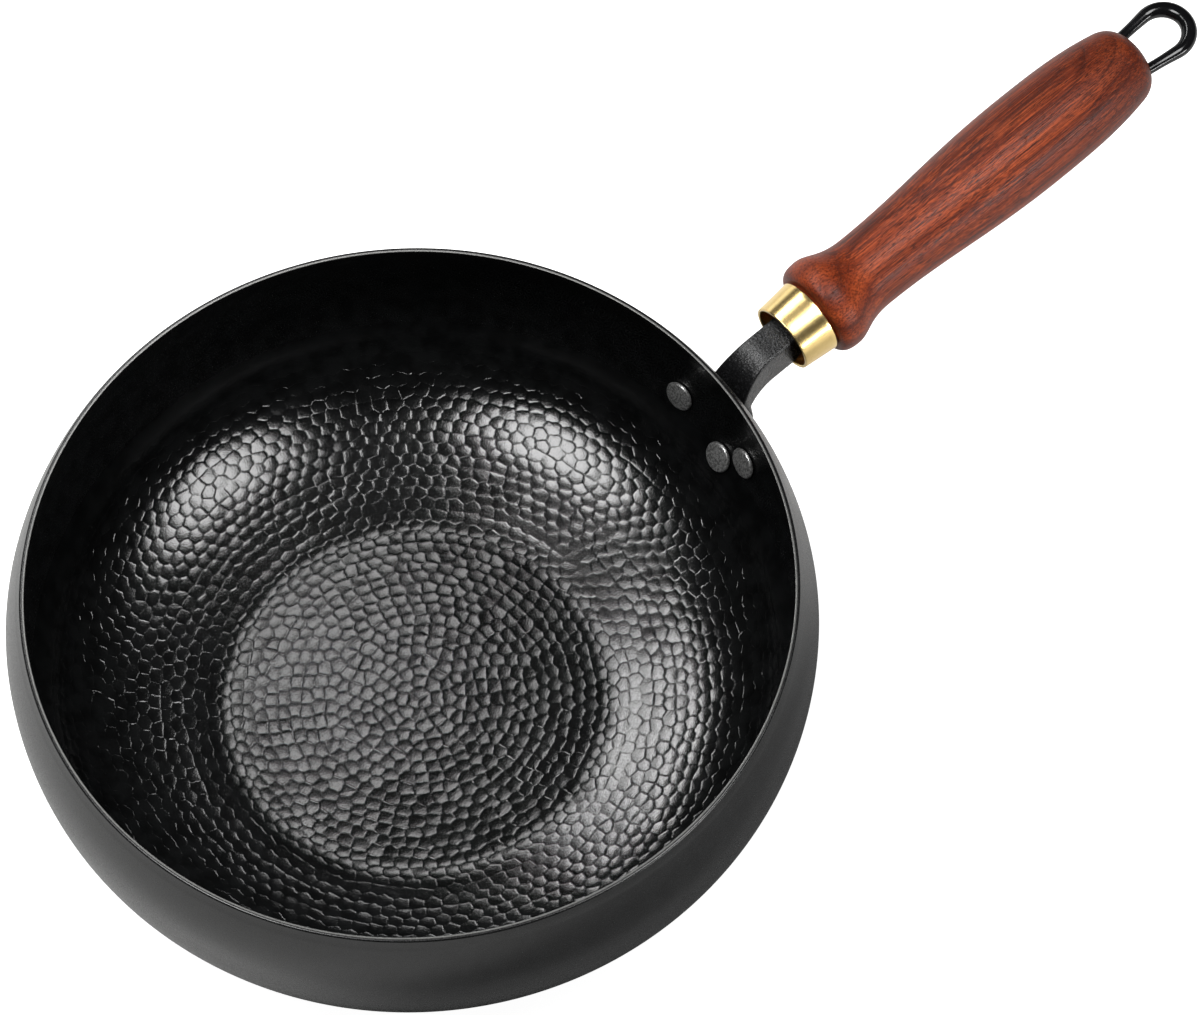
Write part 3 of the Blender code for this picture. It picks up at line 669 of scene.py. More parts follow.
@dataclass
class BowlProfile:
    """Profile of the bowl's inside, from the middle of the floor to the rim, as a dense line.

    Positions along it are arc lengths from the middle of the floor.
    """

    rim_radius: float = 0.150
    wall: float = 0.002
    floor_thickness: float = 0.003
    floor_radius: float = 0.078
    bulge_beyond_rim: float = 0.0076
    bulge_below_rim: float = 0.0305
    leaves_floor_at: float = math.radians(13.7)
    floor_pull: float = 0.0344
    bulge_pull: float = 0.0589
    shoulder_pull: float = 0.0112
    rim_lean: float = math.radians(20.0)
    rim_pull: float = 0.0106
    crease_round: float = 0.0055
    mark_stretch: float = 1.22
    plain_until: float = 0.030
    floor_points: int = 200
    lower_points: int = 400
    upper_points: int = 200
    line_points: int = 2400
    points: Array = field(init=False)
    arc: Array = field(init=False)
    outwards: Array = field(init=False)
    spread: Array = field(init=False)

    def __post_init__(self) -> None:
        """Joins floor, lower wall and shoulder, and eases the crease at the floor's edge."""
        bulge_radius = self.rim_radius + self.bulge_beyond_rim
        up = np.array([0.0, 1.0])
        edge = np.array([self.floor_radius, self.floor_thickness])
        leaving = np.array([math.cos(self.leaves_floor_at), math.sin(self.leaves_floor_at)])
        bulge = np.array([bulge_radius, TOTAL_HEIGHT - self.bulge_below_rim])
        rim = np.array([self.rim_radius, TOTAL_HEIGHT])
        lean = np.array([math.sin(self.rim_lean), -math.cos(self.rim_lean)])
        across = np.linspace(0.0, self.floor_radius, self.floor_points)
        floor = np.stack([across, np.full(len(across), self.floor_thickness)], axis=1)
        lower_ends = (edge + self.floor_pull * leaving, bulge - self.bulge_pull * up)
        lower = bezier(edge, *lower_ends, bulge, self.lower_points)
        upper_ends = (bulge + self.shoulder_pull * up, rim + self.rim_pull * lean)
        upper = bezier(bulge, *upper_ends, rim, self.upper_points)
        line = evenly(np.concatenate([floor, lower[1:], upper[1:]]), self.line_points)
        step = arc_lengths(line)[1]
        reach = max(1, round(self.crease_round / step))
        window = np.ones(2 * reach + 1) / (2 * reach + 1)
        eased = np.stack([np.convolve(line[:, k], window, mode="same") for k in range(2)], axis=1)
        near = np.abs(arc_lengths(line) - self.floor_radius) < 3 * self.crease_round
        line[near] = eased[near]
        self.points = line
        self.arc = arc_lengths(line)
        along = unit(np.gradient(line, axis=0))
        self.outwards = np.stack([along[:, 1], -along[:, 0]], axis=1)
        self.spread = self.map_radius()

    def map_radius(self) -> Array:
        """Radius of a flat map of the bowl on which a hammer mark is as wide as it is long.

        Formula: equal to the arc near the middle, then its logarithm grows by the marks' breadth over their
        length times arc step over bowl radius.
        """
        plain = self.plain_until
        radius = np.maximum(self.points[:, 0], plain / 2)
        stretch = 1.0 + (self.mark_stretch - 1.0) * blend(self.arc, plain, 2 * plain)
        rate = np.where(self.arc < plain, 0.0, stretch / radius)
        growth = np.concatenate([[0.0], np.cumsum(0.5 * (rate[1:] + rate[:-1]) * np.diff(self.arc))])
        return np.minimum(self.arc, plain) * np.exp(growth)

    def to_map(self, arc: Array, turn: Array) -> Array:
        """Positions on the flat map at an arc length and an angle round the axis."""
        return about_axis(np.interp(arc, self.arc, self.spread), turn, 0.0)[..., :2]

    def arc_on_map(self, plane: Array) -> Array:
        """Arc length of positions on the flat map."""
        return np.interp(np.linalg.norm(plane, axis=-1), self.spread, self.arc)

    def map_scale(self, plane: Array) -> Array:
        """Length round the bowl for each unit of length on the map, at positions on the map."""
        reach = np.maximum(np.linalg.norm(plane, axis=-1), SMALL)
        arc = self.arc_on_map(plane)
        return np.where(arc < self.plain_until, 1.0, self.at(arc)[..., 0] / reach)

    def at(self, arc: Array, depth: Array | float = 0.0) -> Array:
        """Radius and height at an arc length, at a depth under the inside surface."""
        out = read_line(arc, self.arc, self.outwards)
        return read_line(arc, self.arc, self.points) + np.asarray(depth)[..., None] * out

    def arc_at_height(self, height: float) -> float:
        """Arc length at which the wall reaches a height."""
        wall = self.arc > self.floor_radius
        return float(np.interp(height, self.points[wall, 1], self.arc[wall]))

    def wall_arcs(self) -> Array:
        """Arc lengths of the wall above the eased crease."""
        return self.arc[self.arc > self.floor_radius + 3 * self.crease_round]

    def radius_at(self, height: Array, depth: float) -> Array:
        """Radius of the wall at a height, at a depth under the inside surface."""
        line = self.at(self.wall_arcs(), depth)
        return np.interp(height, line[:, 1], line[:, 0])

    def from_map(self, plane: Array, depth: Array) -> Array:
        """Points in space of positions on the flat map, at a depth under the inside surface."""
        place = self.at(self.arc_on_map(plane), depth)
        heading = plane / np.maximum(np.linalg.norm(plane, axis=-1), SMALL)[..., None]
        flat = heading * place[..., 0][..., None]
        return np.concatenate([flat, place[..., 1][..., None]], axis=-1)


@dataclass(frozen=True)
class Sectors:
    """Sectors of the hammered dishes: a dish is a fan of sectors, one for each blow beside its own.

    A sector's ridge line runs from one corner of the dish to the next, and its spokes run from these corners
    to the dish's middle. Its twin is the sector beyond the ridge line, where the line runs the other way.
    """

    blow: Array
    neighbour: Array
    twin: Array
    from_corner: Array
    to_corner: Array
    from_spoke: Array
    to_spoke: Array

    @classmethod
    def between(cls, triangles: Array, blows: int) -> "Sectors":
        """Finds the sectors from the triangles between the blows.

        Each side of a triangle gives one sector of the side's first blow. The triangle's circumcentre is the
        corner that the ridge line runs to, and that of the triangle across the side is where it starts.

        Args:
            triangles: rows of three blow numbers, wound to the left.
            blows: number of blows.

        Returns:
            Three sectors for each triangle; one on the outline has -1 for its twin.
        """
        blow = triangles.ravel()
        neighbour = np.roll(triangles, -1, axis=1).ravel()
        twin = matching_edges(blow, neighbour, blows)
        spoke = np.arange(len(blow))
        triangle = spoke // 3
        from_spoke = 3 * triangle[twin] + (spoke[twin] + 1) % 3
        return cls(blow, neighbour, twin, triangle[twin], triangle, from_spoke, spoke)

    def enclosed(self, blows: int) -> Array:
        """Whether each blow has neighbours all round it."""
        outline = self.twin < 0
        closed = np.ones(blows, dtype=bool)
        closed[self.blow[outline]] = False
        closed[self.neighbour[outline]] = False
        return closed


@dataclass(frozen=True)
class Dishes:
    """Measures of each dish: middle on the map, mean radius, depth and slope."""

    middle: Array
    size: Array
    depth: Array
    slope: Array


@dataclass(frozen=True)
class DishMesh:
    """Points of the whole lining, the points behind them, and the rows of points of its sectors.

    The first row of a sector is its ridge line, the others lie inside it, and the hub is the middle.
    """

    points: Array
    behind: Array
    rows: list[Array]
    hub: Array
    sectors: Sectors

    def quads(self, chosen: Array) -> list[Array]:
        """Faces between each row and the next, in some of the sectors."""
        bands = []
        for outer, inner in zip(self.rows[:-1], self.rows[1:]):
            corners = [outer[chosen, :-1], outer[chosen, 1:], inner[chosen, 1:], inner[chosen, :-1]]
            bands.append(np.stack(corners, axis=-1).reshape(-1, 4))
        return bands

    def normals(self, chosen: Array) -> Array:
        """Normal of each point: the sum of the normals of the quads round it, in some of the sectors."""
        total = np.zeros_like(self.points)
        for quads in self.quads(chosen):
            a, b, c, d = (self.points[quads[:, k]] for k in range(4))
            across = np.cross(c - a, d - b)
            for k in range(4):
                np.add.at(total, quads[:, k], across)
        length = np.maximum(np.linalg.norm(total, axis=1), TINY)
        return total / length[:, None]

    def piece(self, name: str, chosen: Array, normals: Array) -> Piece:
        """One closed piece of the lining: its dishes, a plain back and a side along its edge.

        Args:
            name: the piece's name.
            chosen: whether each sector belongs to the piece.
            normals: smooth normals of all points.

        Returns:
            The piece.
        """
        last = self.rows[-1][chosen]
        middle = np.repeat(self.hub[chosen][:, None], last.shape[1] - 1, axis=1)
        fans = np.stack([last[:, :-1], last[:, 1:], middle], axis=-1).reshape(-1, 3)
        front = [np.concatenate(self.quads(chosen)), fans]

        starts, ends = self.sectors.from_corner, self.sectors.to_corner
        triangles = np.stack([ends[chosen], starts[chosen], self.hub[chosen]], axis=1)
        backed = np.unique(triangles)
        offset = len(self.points)
        back = offset + np.searchsorted(backed, triangles)
        edge = chosen & ~chosen[self.sectors.twin]
        foot = offset + np.searchsorted(backed, np.stack([starts[edge], ends[edge]], axis=1))
        side = np.concatenate([self.rows[0][edge][:, ::-1], foot], axis=1)

        points = np.concatenate([self.points, self.behind[backed]])
        faces = front + [back, side]
        used = np.unique(np.concatenate([f.ravel() for f in faces]))
        faces = [np.searchsorted(used, f) for f in faces]
        piece = mesh_object(name, points[used], faces)
        corner_normals = np.zeros((sum(f.size for f in faces), 3))
        in_front = np.concatenate([f.ravel() for f in front])
        corner_normals[:len(in_front)] = normals[in_front]
        piece.data.normals_split_custom_set(corner_normals.tolist())
        return piece


@dataclass
class HammeredLining:
    """Inside surface of the bowl up to where the hammer marks fade: one shallow dish for each blow.

    The blows lie in rings about the middle. Each dish is a cell of the Voronoi diagram of the blows, with a
    narrow ridge where it meets its neighbours.
    """

    bowl: BowlProfile
    ring_pitch: float = 0.0047
    blow_pitch: float = 0.0061
    scatter: float = 0.00048
    scatter_around: float = 1.3
    play_limit: float = 1.8
    relaxing: int = 1
    guard_rings: int = 2
    last_ring: float = 0.48
    depth: float = 0.00009
    depth_play: float = 0.2
    dish: float = 0.00006
    tilt: float = 0.012
    rounding: float = 0.65
    round_size: float = 0.90
    ridge_width: float = 0.00020
    ridge_dip: float = 0.25
    dip_wave: float = 0.011
    dip_swing: float = 0.9
    side_near: float = 0.92
    corner_near: float = 0.40
    waver: float = 0.00026
    corner_wave: float = 0.0045
    ridge_wave: float = 0.0032
    calm: float = 0.52
    calm_from_edge: float = 0.0085
    calm_width: float = 0.0060
    fade_from: float = 0.023
    fade_to: float = 0.036
    fade_spare: float = 0.002
    edge_sink: float = 0.0003
    edge_run: float = 0.8
    thickness: float = 0.0010
    across: int = 4
    shells: tuple[float, ...] = (0.965, 0.90, 0.76, 0.42)
    wall_pieces: int = 3
    seed: int = 11
    corner_seed: int = 5
    ridge_seed: int = 7
    dip_seed: int = 21
    wall_rings: int = field(init=False)

    def __post_init__(self) -> None:
        """Counts the rings on the wall, up to where the marks have faded."""
        reach = self.bowl.arc_at_height(self.fade_to + self.fade_spare) - self.bowl.floor_radius
        self.wall_rings = math.ceil(reach / self.ring_pitch) + 1

    def end_arc(self) -> float:
        """Arc length at which the lining slips under the smooth wall."""
        return self.bowl.floor_radius + (self.wall_rings - 0.5) * self.ring_pitch

    def ring_places(
        self, arcs: Array, draw: np.random.Generator, count: int = 0, turn: float = 0.0,
    ) -> tuple[Array, Array]:
        """Even places on rings about the middle.

        Formula: a ring keeps the number of places of the ring before it, half a step further round, as long
        as that number is within a twelfth of what its length asks for.

        Args:
            arcs: arc length of each ring, from the floor's edge in one direction.
            draw: source of the turns of rings that change their number.
            count: number of places of the ring before the first.
            turn: angle of its first place.

        Returns:
            Arc length and angle of each place.
        """
        places = []
        for arc in arcs:
            ideal = 2 * math.pi * float(self.bowl.at(np.array(arc))[0]) / self.blow_pitch
            if abs(count - ideal) > ideal / 12:
                count, turn = max(3, round(ideal)), draw.uniform(0.0, 2 * math.pi)
            else:
                turn += math.pi / count
            angles = turn + 2 * math.pi * np.arange(count) / count
            places.append(np.stack([np.full(count, arc), angles]))
        joined = np.concatenate(places, axis=1)
        return joined[0], joined[1]

    def blows(self) -> tuple[Array, Array, Array]:
        """Places of the blows.

        Formula: one ring lies on the floor's edge and the others a pitch apart. Their places are relaxed
        towards the middles of their own Voronoi cells on the map and then shifted by small seeded amounts.

        Returns:
            Map positions of the blows, the triangles between them, and their arc lengths.
        """
        draw = np.random.default_rng(self.seed)
        edge, pitch = self.bowl.floor_radius, self.ring_pitch
        inner = self.ring_places(edge - np.arange(int(edge / pitch) + 1) * pitch, draw)
        around = int(np.count_nonzero(inner[0] == edge))
        outside = edge + (np.arange(self.wall_rings + self.guard_rings) + 1) * pitch
        outer = self.ring_places(outside, draw, around, inner[1][0])
        arc = np.concatenate([inner[0], outer[0]])
        turn = np.concatenate([inner[1], outer[1]])
        for _ in range(self.relaxing):
            places = self.bowl.to_map(arc, turn)
            middles = cell_middles(places, triangulated(places))
            arc = self.bowl.arc_on_map(middles)
            turn = np.arctan2(middles[:, 1], middles[:, 0])
        play = self.play(draw, (2, len(arc)))
        arc = np.abs(arc + self.scatter * play[0])
        sideways = self.scatter_around * self.scatter * play[1]
        turn = turn + sideways / np.maximum(self.bowl.at(arc)[:, 0], pitch)
        places = self.bowl.to_map(arc, turn)
        return places, triangulated(places), arc

    def play(self, draw: np.random.Generator, size: tuple[int, ...] | int) -> Array:
        """Normal draws, cut at a limit on both sides."""
        return np.clip(draw.normal(size=size), -self.play_limit, self.play_limit)

    def fade(self, plane: Array) -> Array:
        """Share of the marks' depth at a place: less at the foot of the wall, nought on its smooth top.

        Formula: one less a smooth step in height, times one less a bell in arc length.
        """
        arc = self.bowl.arc_on_map(plane)
        foot = (arc - self.bowl.floor_radius - self.calm_from_edge) / self.calm_width
        marked = 1.0 - blend(self.bowl.at(arc)[..., 1], self.fade_from, self.fade_to)
        return marked * (1.0 - self.calm * np.exp(-foot ** 2))

    def under_edge(self, plane: Array) -> Array:
        """Extra depth beyond the lining's end, where it slips under the smooth wall."""
        end = self.end_arc()
        return self.edge_sink * blend(self.bowl.arc_on_map(plane), end, end + self.edge_run * self.ring_pitch)

    def build(self) -> list[Piece]:
        """Makes the floor's piece and the wall's pieces, which meet along whole dishes.

        Returns:
            The pieces.
        """
        seeds, triangles, arc = self.blows()
        sectors = Sectors.between(triangles, len(seeds))
        last = self.bowl.floor_radius + (self.wall_rings + self.last_ring) * self.ring_pitch
        kept = (arc < last) & sectors.enclosed(len(seeds))
        valid = (sectors.twin >= 0) & kept[sectors.blow]
        mesh = self.dish_mesh(circumcentres(seeds, triangles), sectors, valid, len(seeds))
        normals = mesh.normals(valid)

        share = (np.arctan2(seeds[:, 1], seeds[:, 0]) % (2 * math.pi)) / (2 * math.pi)
        part = np.minimum(np.floor(share * self.wall_pieces).astype(int), self.wall_pieces - 1)
        group = np.where(arc < self.bowl.floor_radius + 0.5 * self.ring_pitch, 0, 1 + part)
        names = ["hammered_floor"] + [f"hammered_wall_{k + 1}" for k in range(self.wall_pieces)]
        pieces = []
        for index, name in enumerate(names):
            pieces.append(mesh.piece(name, valid & (group[sectors.blow] == index), normals))
        return pieces

    def dish_mesh(self, corners: Array, sectors: Sectors, valid: Array, blows: int) -> DishMesh:
        """Lays out the points of all dishes: corners, ridge points, points on spokes and in sectors, hubs.

        Args:
            corners: map positions of the cells' corners, one for each triangle.
            sectors: the sectors.
            valid: sectors of the dishes that are kept.
            blows: number of blows.

        Returns:
            The mesh.
        """
        blow = sectors.blow
        share = np.arange(1, self.across) / self.across
        corners, ridge = self.ridges(corners, sectors, share)
        dishes = self.measures(corners[sectors.from_corner][valid], blow[valid], blows)
        spokes = self.inside_dish(blow, corners[sectors.to_corner], np.ones(len(blow)), dishes)
        place = np.tile(np.abs(2.0 * share - 1.0), len(blow))
        inner = self.inside_dish(np.repeat(blow, len(share)), ridge, place, dishes)
        middle_depth = (dishes.depth + self.dish) * self.fade(dishes.middle)
        planes = [corners, ridge, spokes[0].reshape(-1, 2), inner[0].reshape(-1, 2), dishes.middle]
        ridge_depths = [self.ridge_depth(corners), self.ridge_depth(ridge)]
        depths = [*ridge_depths, spokes[1].ravel(), inner[1].ravel(), middle_depth]
        plane = np.concatenate(planes)
        depth = np.concatenate(depths) + self.under_edge(plane)
        offsets = np.concatenate([[0], np.cumsum([len(p) for p in planes])])
        front = self.bowl.from_map(plane, depth)
        behind = self.bowl.from_map(plane, np.full(len(plane), self.thickness))
        return DishMesh(front, behind, self.rows(sectors, offsets), offsets[4] + blow, sectors)

    def ridges(self, corners: Array, sectors: Sectors, share: Array) -> tuple[Array, Array]:
        """Corners of the dishes, a little shifted, and the points of the wavy ridge lines between them.

        Formula: a shift is the waver times an irregular field over the map's scale. A corner has half of it,
        and a ridge point has it times sin(pi s), s being its share of the way from corner to corner.

        Args:
            corners: map positions of the corners.
            sectors: the sectors.
            share: shares of the way at which the ridge points stand.

        Returns:
            Map positions of the corners and of the ridge points, sector by sector.
        """
        scale = self.bowl.map_scale(corners)[:, None]
        shift = 0.5 * self.waver * wobble(corners, self.corner_wave, self.corner_seed)
        corners = corners + shift / scale
        start, end = corners[sectors.from_corner], corners[sectors.to_corner]
        ridge = start[:, None] + (end - start)[:, None] * share[None, :, None]
        shift = self.waver * np.sin(math.pi * share) / self.bowl.map_scale(ridge)
        ridge = ridge + shift[..., None] * wobble(ridge, self.ridge_wave, self.ridge_seed)
        return corners, ridge.reshape(-1, 2)

    def measures(self, corners: Array, blow: Array, blows: int) -> Dishes:
        """Middle and mean radius of each dish from its corners, and seeded draws for its depth and slope.

        Args:
            corners: map positions of the corners, one for each sector.
            blow: the blow that each belongs to.
            blows: number of blows.

        Returns:
            The measures.
        """
        number = np.maximum(np.bincount(blow, minlength=blows), 1.0)
        total = np.zeros((blows, 2))
        np.add.at(total, blow, corners)
        middle = total / number[:, None]
        size = np.zeros(blows)
        np.add.at(size, blow, np.linalg.norm(corners - middle[blow], axis=1))
        draw = np.random.default_rng(self.seed + 1)
        depth = self.depth * (1.0 + self.depth_play * self.play(draw, blows))
        slope = self.tilt * draw.normal(size=(blows, 2))
        return Dishes(middle, self.round_size * size / number, depth, slope)

    def rows(self, sectors: Sectors, offsets: Array) -> list[Array]:
        """Point numbers of each sector's ridge line and of its lines on the shells, corner to corner.

        Twins share the ridge points of the one with the lower number, which the other reads backwards.

        Args:
            sectors: the sectors.
            offsets: number of the first corner, ridge point, spoke point and point inside a sector.

        Returns:
            For each line, an array with one row for each sector.
        """
        steps, shells = self.across - 1, len(self.shells)
        own = np.arange(len(sectors.blow))[:, None]
        along = np.arange(steps)[None, :]
        twin = sectors.twin[:, None]
        first = np.where(own < twin, own, twin)
        between = offsets[1] + first * steps + np.where(first != own, steps - 1 - along, along)
        rows = [np.concatenate([sectors.from_corner[:, None], between, sectors.to_corner[:, None]], axis=1)]
        for shell in range(shells):
            left = offsets[2] + sectors.from_spoke * shells + shell
            right = offsets[2] + sectors.to_spoke * shells + shell
            between = offsets[3] + (own * steps + along) * shells + shell
            rows.append(np.concatenate([left[:, None], between, right[:, None]], axis=1))
        return rows

    def ridge_depth(self, plane: Array) -> Array:
        """Depth of the ridge line, which sinks here and there where two blows ran together."""
        dip = np.clip(0.5 + self.dip_swing * ripple(plane, self.dip_wave, self.dip_seed), 0.0, 1.0)
        return self.ridge_dip * self.depth * dip * self.fade(plane)

    def inside_dish(self, blow: Array, rim: Array, place: Array, dishes: Dishes) -> tuple[Array, Array]:
        """Map positions and depths of the points that stand on the shells inside ridge points.

        Formula: a shell is the ridge line shrunk towards the dish's middle by a factor f and rounded as it
        shrinks. The depth of a point is the ridge's depth times n plus the dish's times 1 - n, n being
        exp(-e/w) with e its distance to the ridge and w the ridge's width. The dish's depth is its own depth
        plus a parabola in f and a slight slope.

        Args:
            blow: number of the dish of each ridge point.
            rim: map positions of the ridge points.
            place: 1 at a corner of the dish and 0 in the middle of a side.
            dishes: measures of the dishes.

        Returns:
            Positions and depths, with one column for each shell.
        """
        factors = np.array(self.shells)
        factor = factors[None, :, None]
        hub = dishes.middle[blow][:, None]
        spoke = rim[:, None] - hub
        length = np.maximum(np.linalg.norm(spoke, axis=-1, keepdims=True), SMALL)
        rounding = self.rounding * (1.0 - factor)
        straight = spoke * factor * (1.0 - rounding)
        plane = hub + straight + spoke / length * dishes.size[blow][:, None, None] * factor * rounding
        side = self.side_near - self.corner_near * place[:, None] ** 2
        scale = self.bowl.map_scale(dishes.middle)[blow][:, None]
        from_ridge = (1.0 - factors[None, :]) * length[..., 0] * side * scale
        near = np.exp(-from_ridge / self.ridge_width)
        slope = ((plane - hub) * dishes.slope[blow][:, None]).sum(axis=-1) * scale
        bowl = self.dish * (1.0 - factors[None, :] ** 2)
        inside = (dishes.depth[blow][:, None] + bowl + slope) * self.fade(plane)
        return plane, near * self.ridge_depth(rim)[:, None] + (1.0 - near) * inside


def wobble(places: Array, wavelength: float, seed: int) -> Array:
    """Two smooth irregular fields as the two coordinates of a shift."""
    return np.stack([ripple(places, wavelength, seed + k) for k in range(2)], axis=-1)


def triangulated(places: Array) -> Array:
    """Triangles between places on the map, with no other place inside their circles, wound to the left."""
    result = delaunay_2d_cdt([Vector(p) for p in places * 1000.0], [], [], 0, SMALL)
    origin = np.array([ids[0] for ids in result[3]])
    triangles = origin[np.array(result[2])]
    first, second, third = (places[triangles[:, k]] for k in range(3))
    along, aside = second - first, third - first
    clockwise = along[:, 0] * aside[:, 1] < along[:, 1] * aside[:, 0]
    triangles[clockwise] = triangles[clockwise][:, ::-1]
    return triangles


def cell_middles(places: Array, triangles: Array) -> Array:
    """Centre of area of the Voronoi cell of each place; places on the outline stay where they are.

    Formula: the cell is a fan of triangles from its place to two neighbouring circumcentres, and its middle
    is the mean of their middles weighted by their areas.
    """
    corners = circumcentres(places, triangles)
    sectors = Sectors.between(triangles, len(places))
    left, right = corners[sectors.to_corner], corners[sectors.from_corner]
    own = places[sectors.blow]
    to_left, to_right = left - own, right - own
    area = np.abs(to_right[:, 0] * to_left[:, 1] - to_right[:, 1] * to_left[:, 0])
    total = np.zeros(len(places))
    moment = np.zeros((len(places), 2))
    np.add.at(total, sectors.blow, area)
    np.add.at(moment, sectors.blow, area[:, None] * (own + left + right) / 3.0)
    middles = moment / np.maximum(total, TINY)[:, None]
    return np.where(sectors.enclosed(len(places))[:, None], middles, places)


def circumcentres(seeds: Array, triangles: Array) -> Array:
    """Centre of the circle through the corners of each triangle.

    Formula: with corners a, b, c and b, c taken from a, the centre is a + (|b|^2 (c.y, -c.x) -
    |c|^2 (b.y, -b.x)) / (2 (b.x c.y - b.y c.x)).
    """
    a = seeds[triangles[:, 0]]
    b = seeds[triangles[:, 1]] - a
    c = seeds[triangles[:, 2]] - a
    twice = 2.0 * (b[:, 0] * c[:, 1] - b[:, 1] * c[:, 0])
    bb = (b * b).sum(axis=1)
    cc = (c * c).sum(axis=1)
    x = (bb * c[:, 1] - cc * b[:, 1]) / twice
    y = (cc * b[:, 0] - bb * c[:, 0]) / twice
    return a + np.stack([x, y], axis=1)


def matching_edges(start: Array, end: Array, count: int) -> Array:
    """For each directed edge, the number of the same edge run the other way, or -1 on the outline."""
    key = start.astype(np.int64) * count + end
    wanted = end.astype(np.int64) * count + start
    order = np.argsort(key)
    at = np.searchsorted(key[order], wanted)
    at = np.minimum(at, len(key) - 1)
    found = key[order][at] == wanted
    return np.where(found, order[at], -1)


@dataclass
class IronShell:
    """The bowl without its hammered face: outer skin, rim, smooth upper wall and a seat for the lining."""

    bowl: BowlProfile
    lining: HammeredLining
    rim_inner_round: float = 0.0003
    rim_outer_round: float = 0.0010
    ground_width: float = 0.0008
    foot_round: float = 0.0012
    seat_depth: float = 0.0013
    seat_run: float = 0.0045
    inside_points: tuple[int, int, int] = (40, 10, 48)
    outside_points: int = 120
    bottom_shares: tuple[float, ...] = (0.9, 0.6, 0.3, 0.0)
    ground_drop: float = 0.0004
    ground_from: float = 0.3
    steps: int = 288

    def profile(self) -> Array:
        """Radius and height from the middle of the seat up the inside, over the rim and down the outside.

        Formula: the bowl's inside line at a depth that is nought on the upper wall and steps smoothly to the
        seat's depth under the lining, a quarter circle at the rim's inner edge, an arc a little short of one
        at its outer edge, then the inside line moved outwards by the wall, and a rounded foot.
        """
        bowl = self.bowl
        end = self.lining.end_arc()
        top = bowl.arc[-1]
        seat, step, wall = self.inside_points
        arc = np.concatenate([
            np.linspace(0.0, end - self.seat_run, seat, endpoint=False),
            np.linspace(end - self.seat_run, end, step, endpoint=False),
            np.linspace(end, top, wall),
        ])
        depth = self.seat_depth * (1.0 - blend(arc, end - self.seat_run, end))
        inside = bowl.at(arc, depth)[:-1]
        inner, outer = self.rim_inner_round, self.rim_outer_round
        width = bowl.wall / math.cos(bowl.rim_lean)
        inner_edge = (bowl.rim_radius + inner, TOTAL_HEIGHT - inner)
        outer_edge = (bowl.rim_radius + width - outer, TOTAL_HEIGHT - outer)
        rim = [arc_points(inner_edge, inner, 180.0, 90.0, 6), arc_points(outer_edge, outer, 90.0, 10.0, 10)]
        outside = bowl.at(np.linspace(top, bowl.floor_radius, self.outside_points), bowl.wall)
        foot = outside[-1]
        high = (outside[:, 1] > self.foot_round) & (outside[:, 0] > foot[0] + self.foot_round)
        outside = outside[high & (outside[:, 1] < TOTAL_HEIGHT - 2 * bowl.wall)]
        ground = np.array([bowl.floor_radius - self.foot_round, 0.0])
        knee = np.array([bowl.floor_radius + self.foot_round, self.foot_round / 3])
        ease = bezier(outside[-1], knee, knee * [1.0, 0.2], ground, 8)[1:]
        bottom = np.array([[bowl.floor_radius * share, 0.0] for share in self.bottom_shares])
        return np.concatenate([inside, *rim, outside, ease, bottom])

    def build(self) -> Piece:
        """Turns the profile."""
        return turned("iron_shell", self.profile(), self.steps)

    def ground_lip(self) -> Triple:
        """Inner radius, outer radius and least height of the rim's bare ground face."""
        inner = self.bowl.rim_radius + self.ground_from * self.rim_inner_round
        return inner, inner + self.ground_width, TOTAL_HEIGHT - self.ground_drop


@dataclass(frozen=True)
class RivetPlan:
    """Where a rivet stands on the wall: below the rim, and aside of the handle's plane."""

    name: str
    aside: float
    below_rim: float


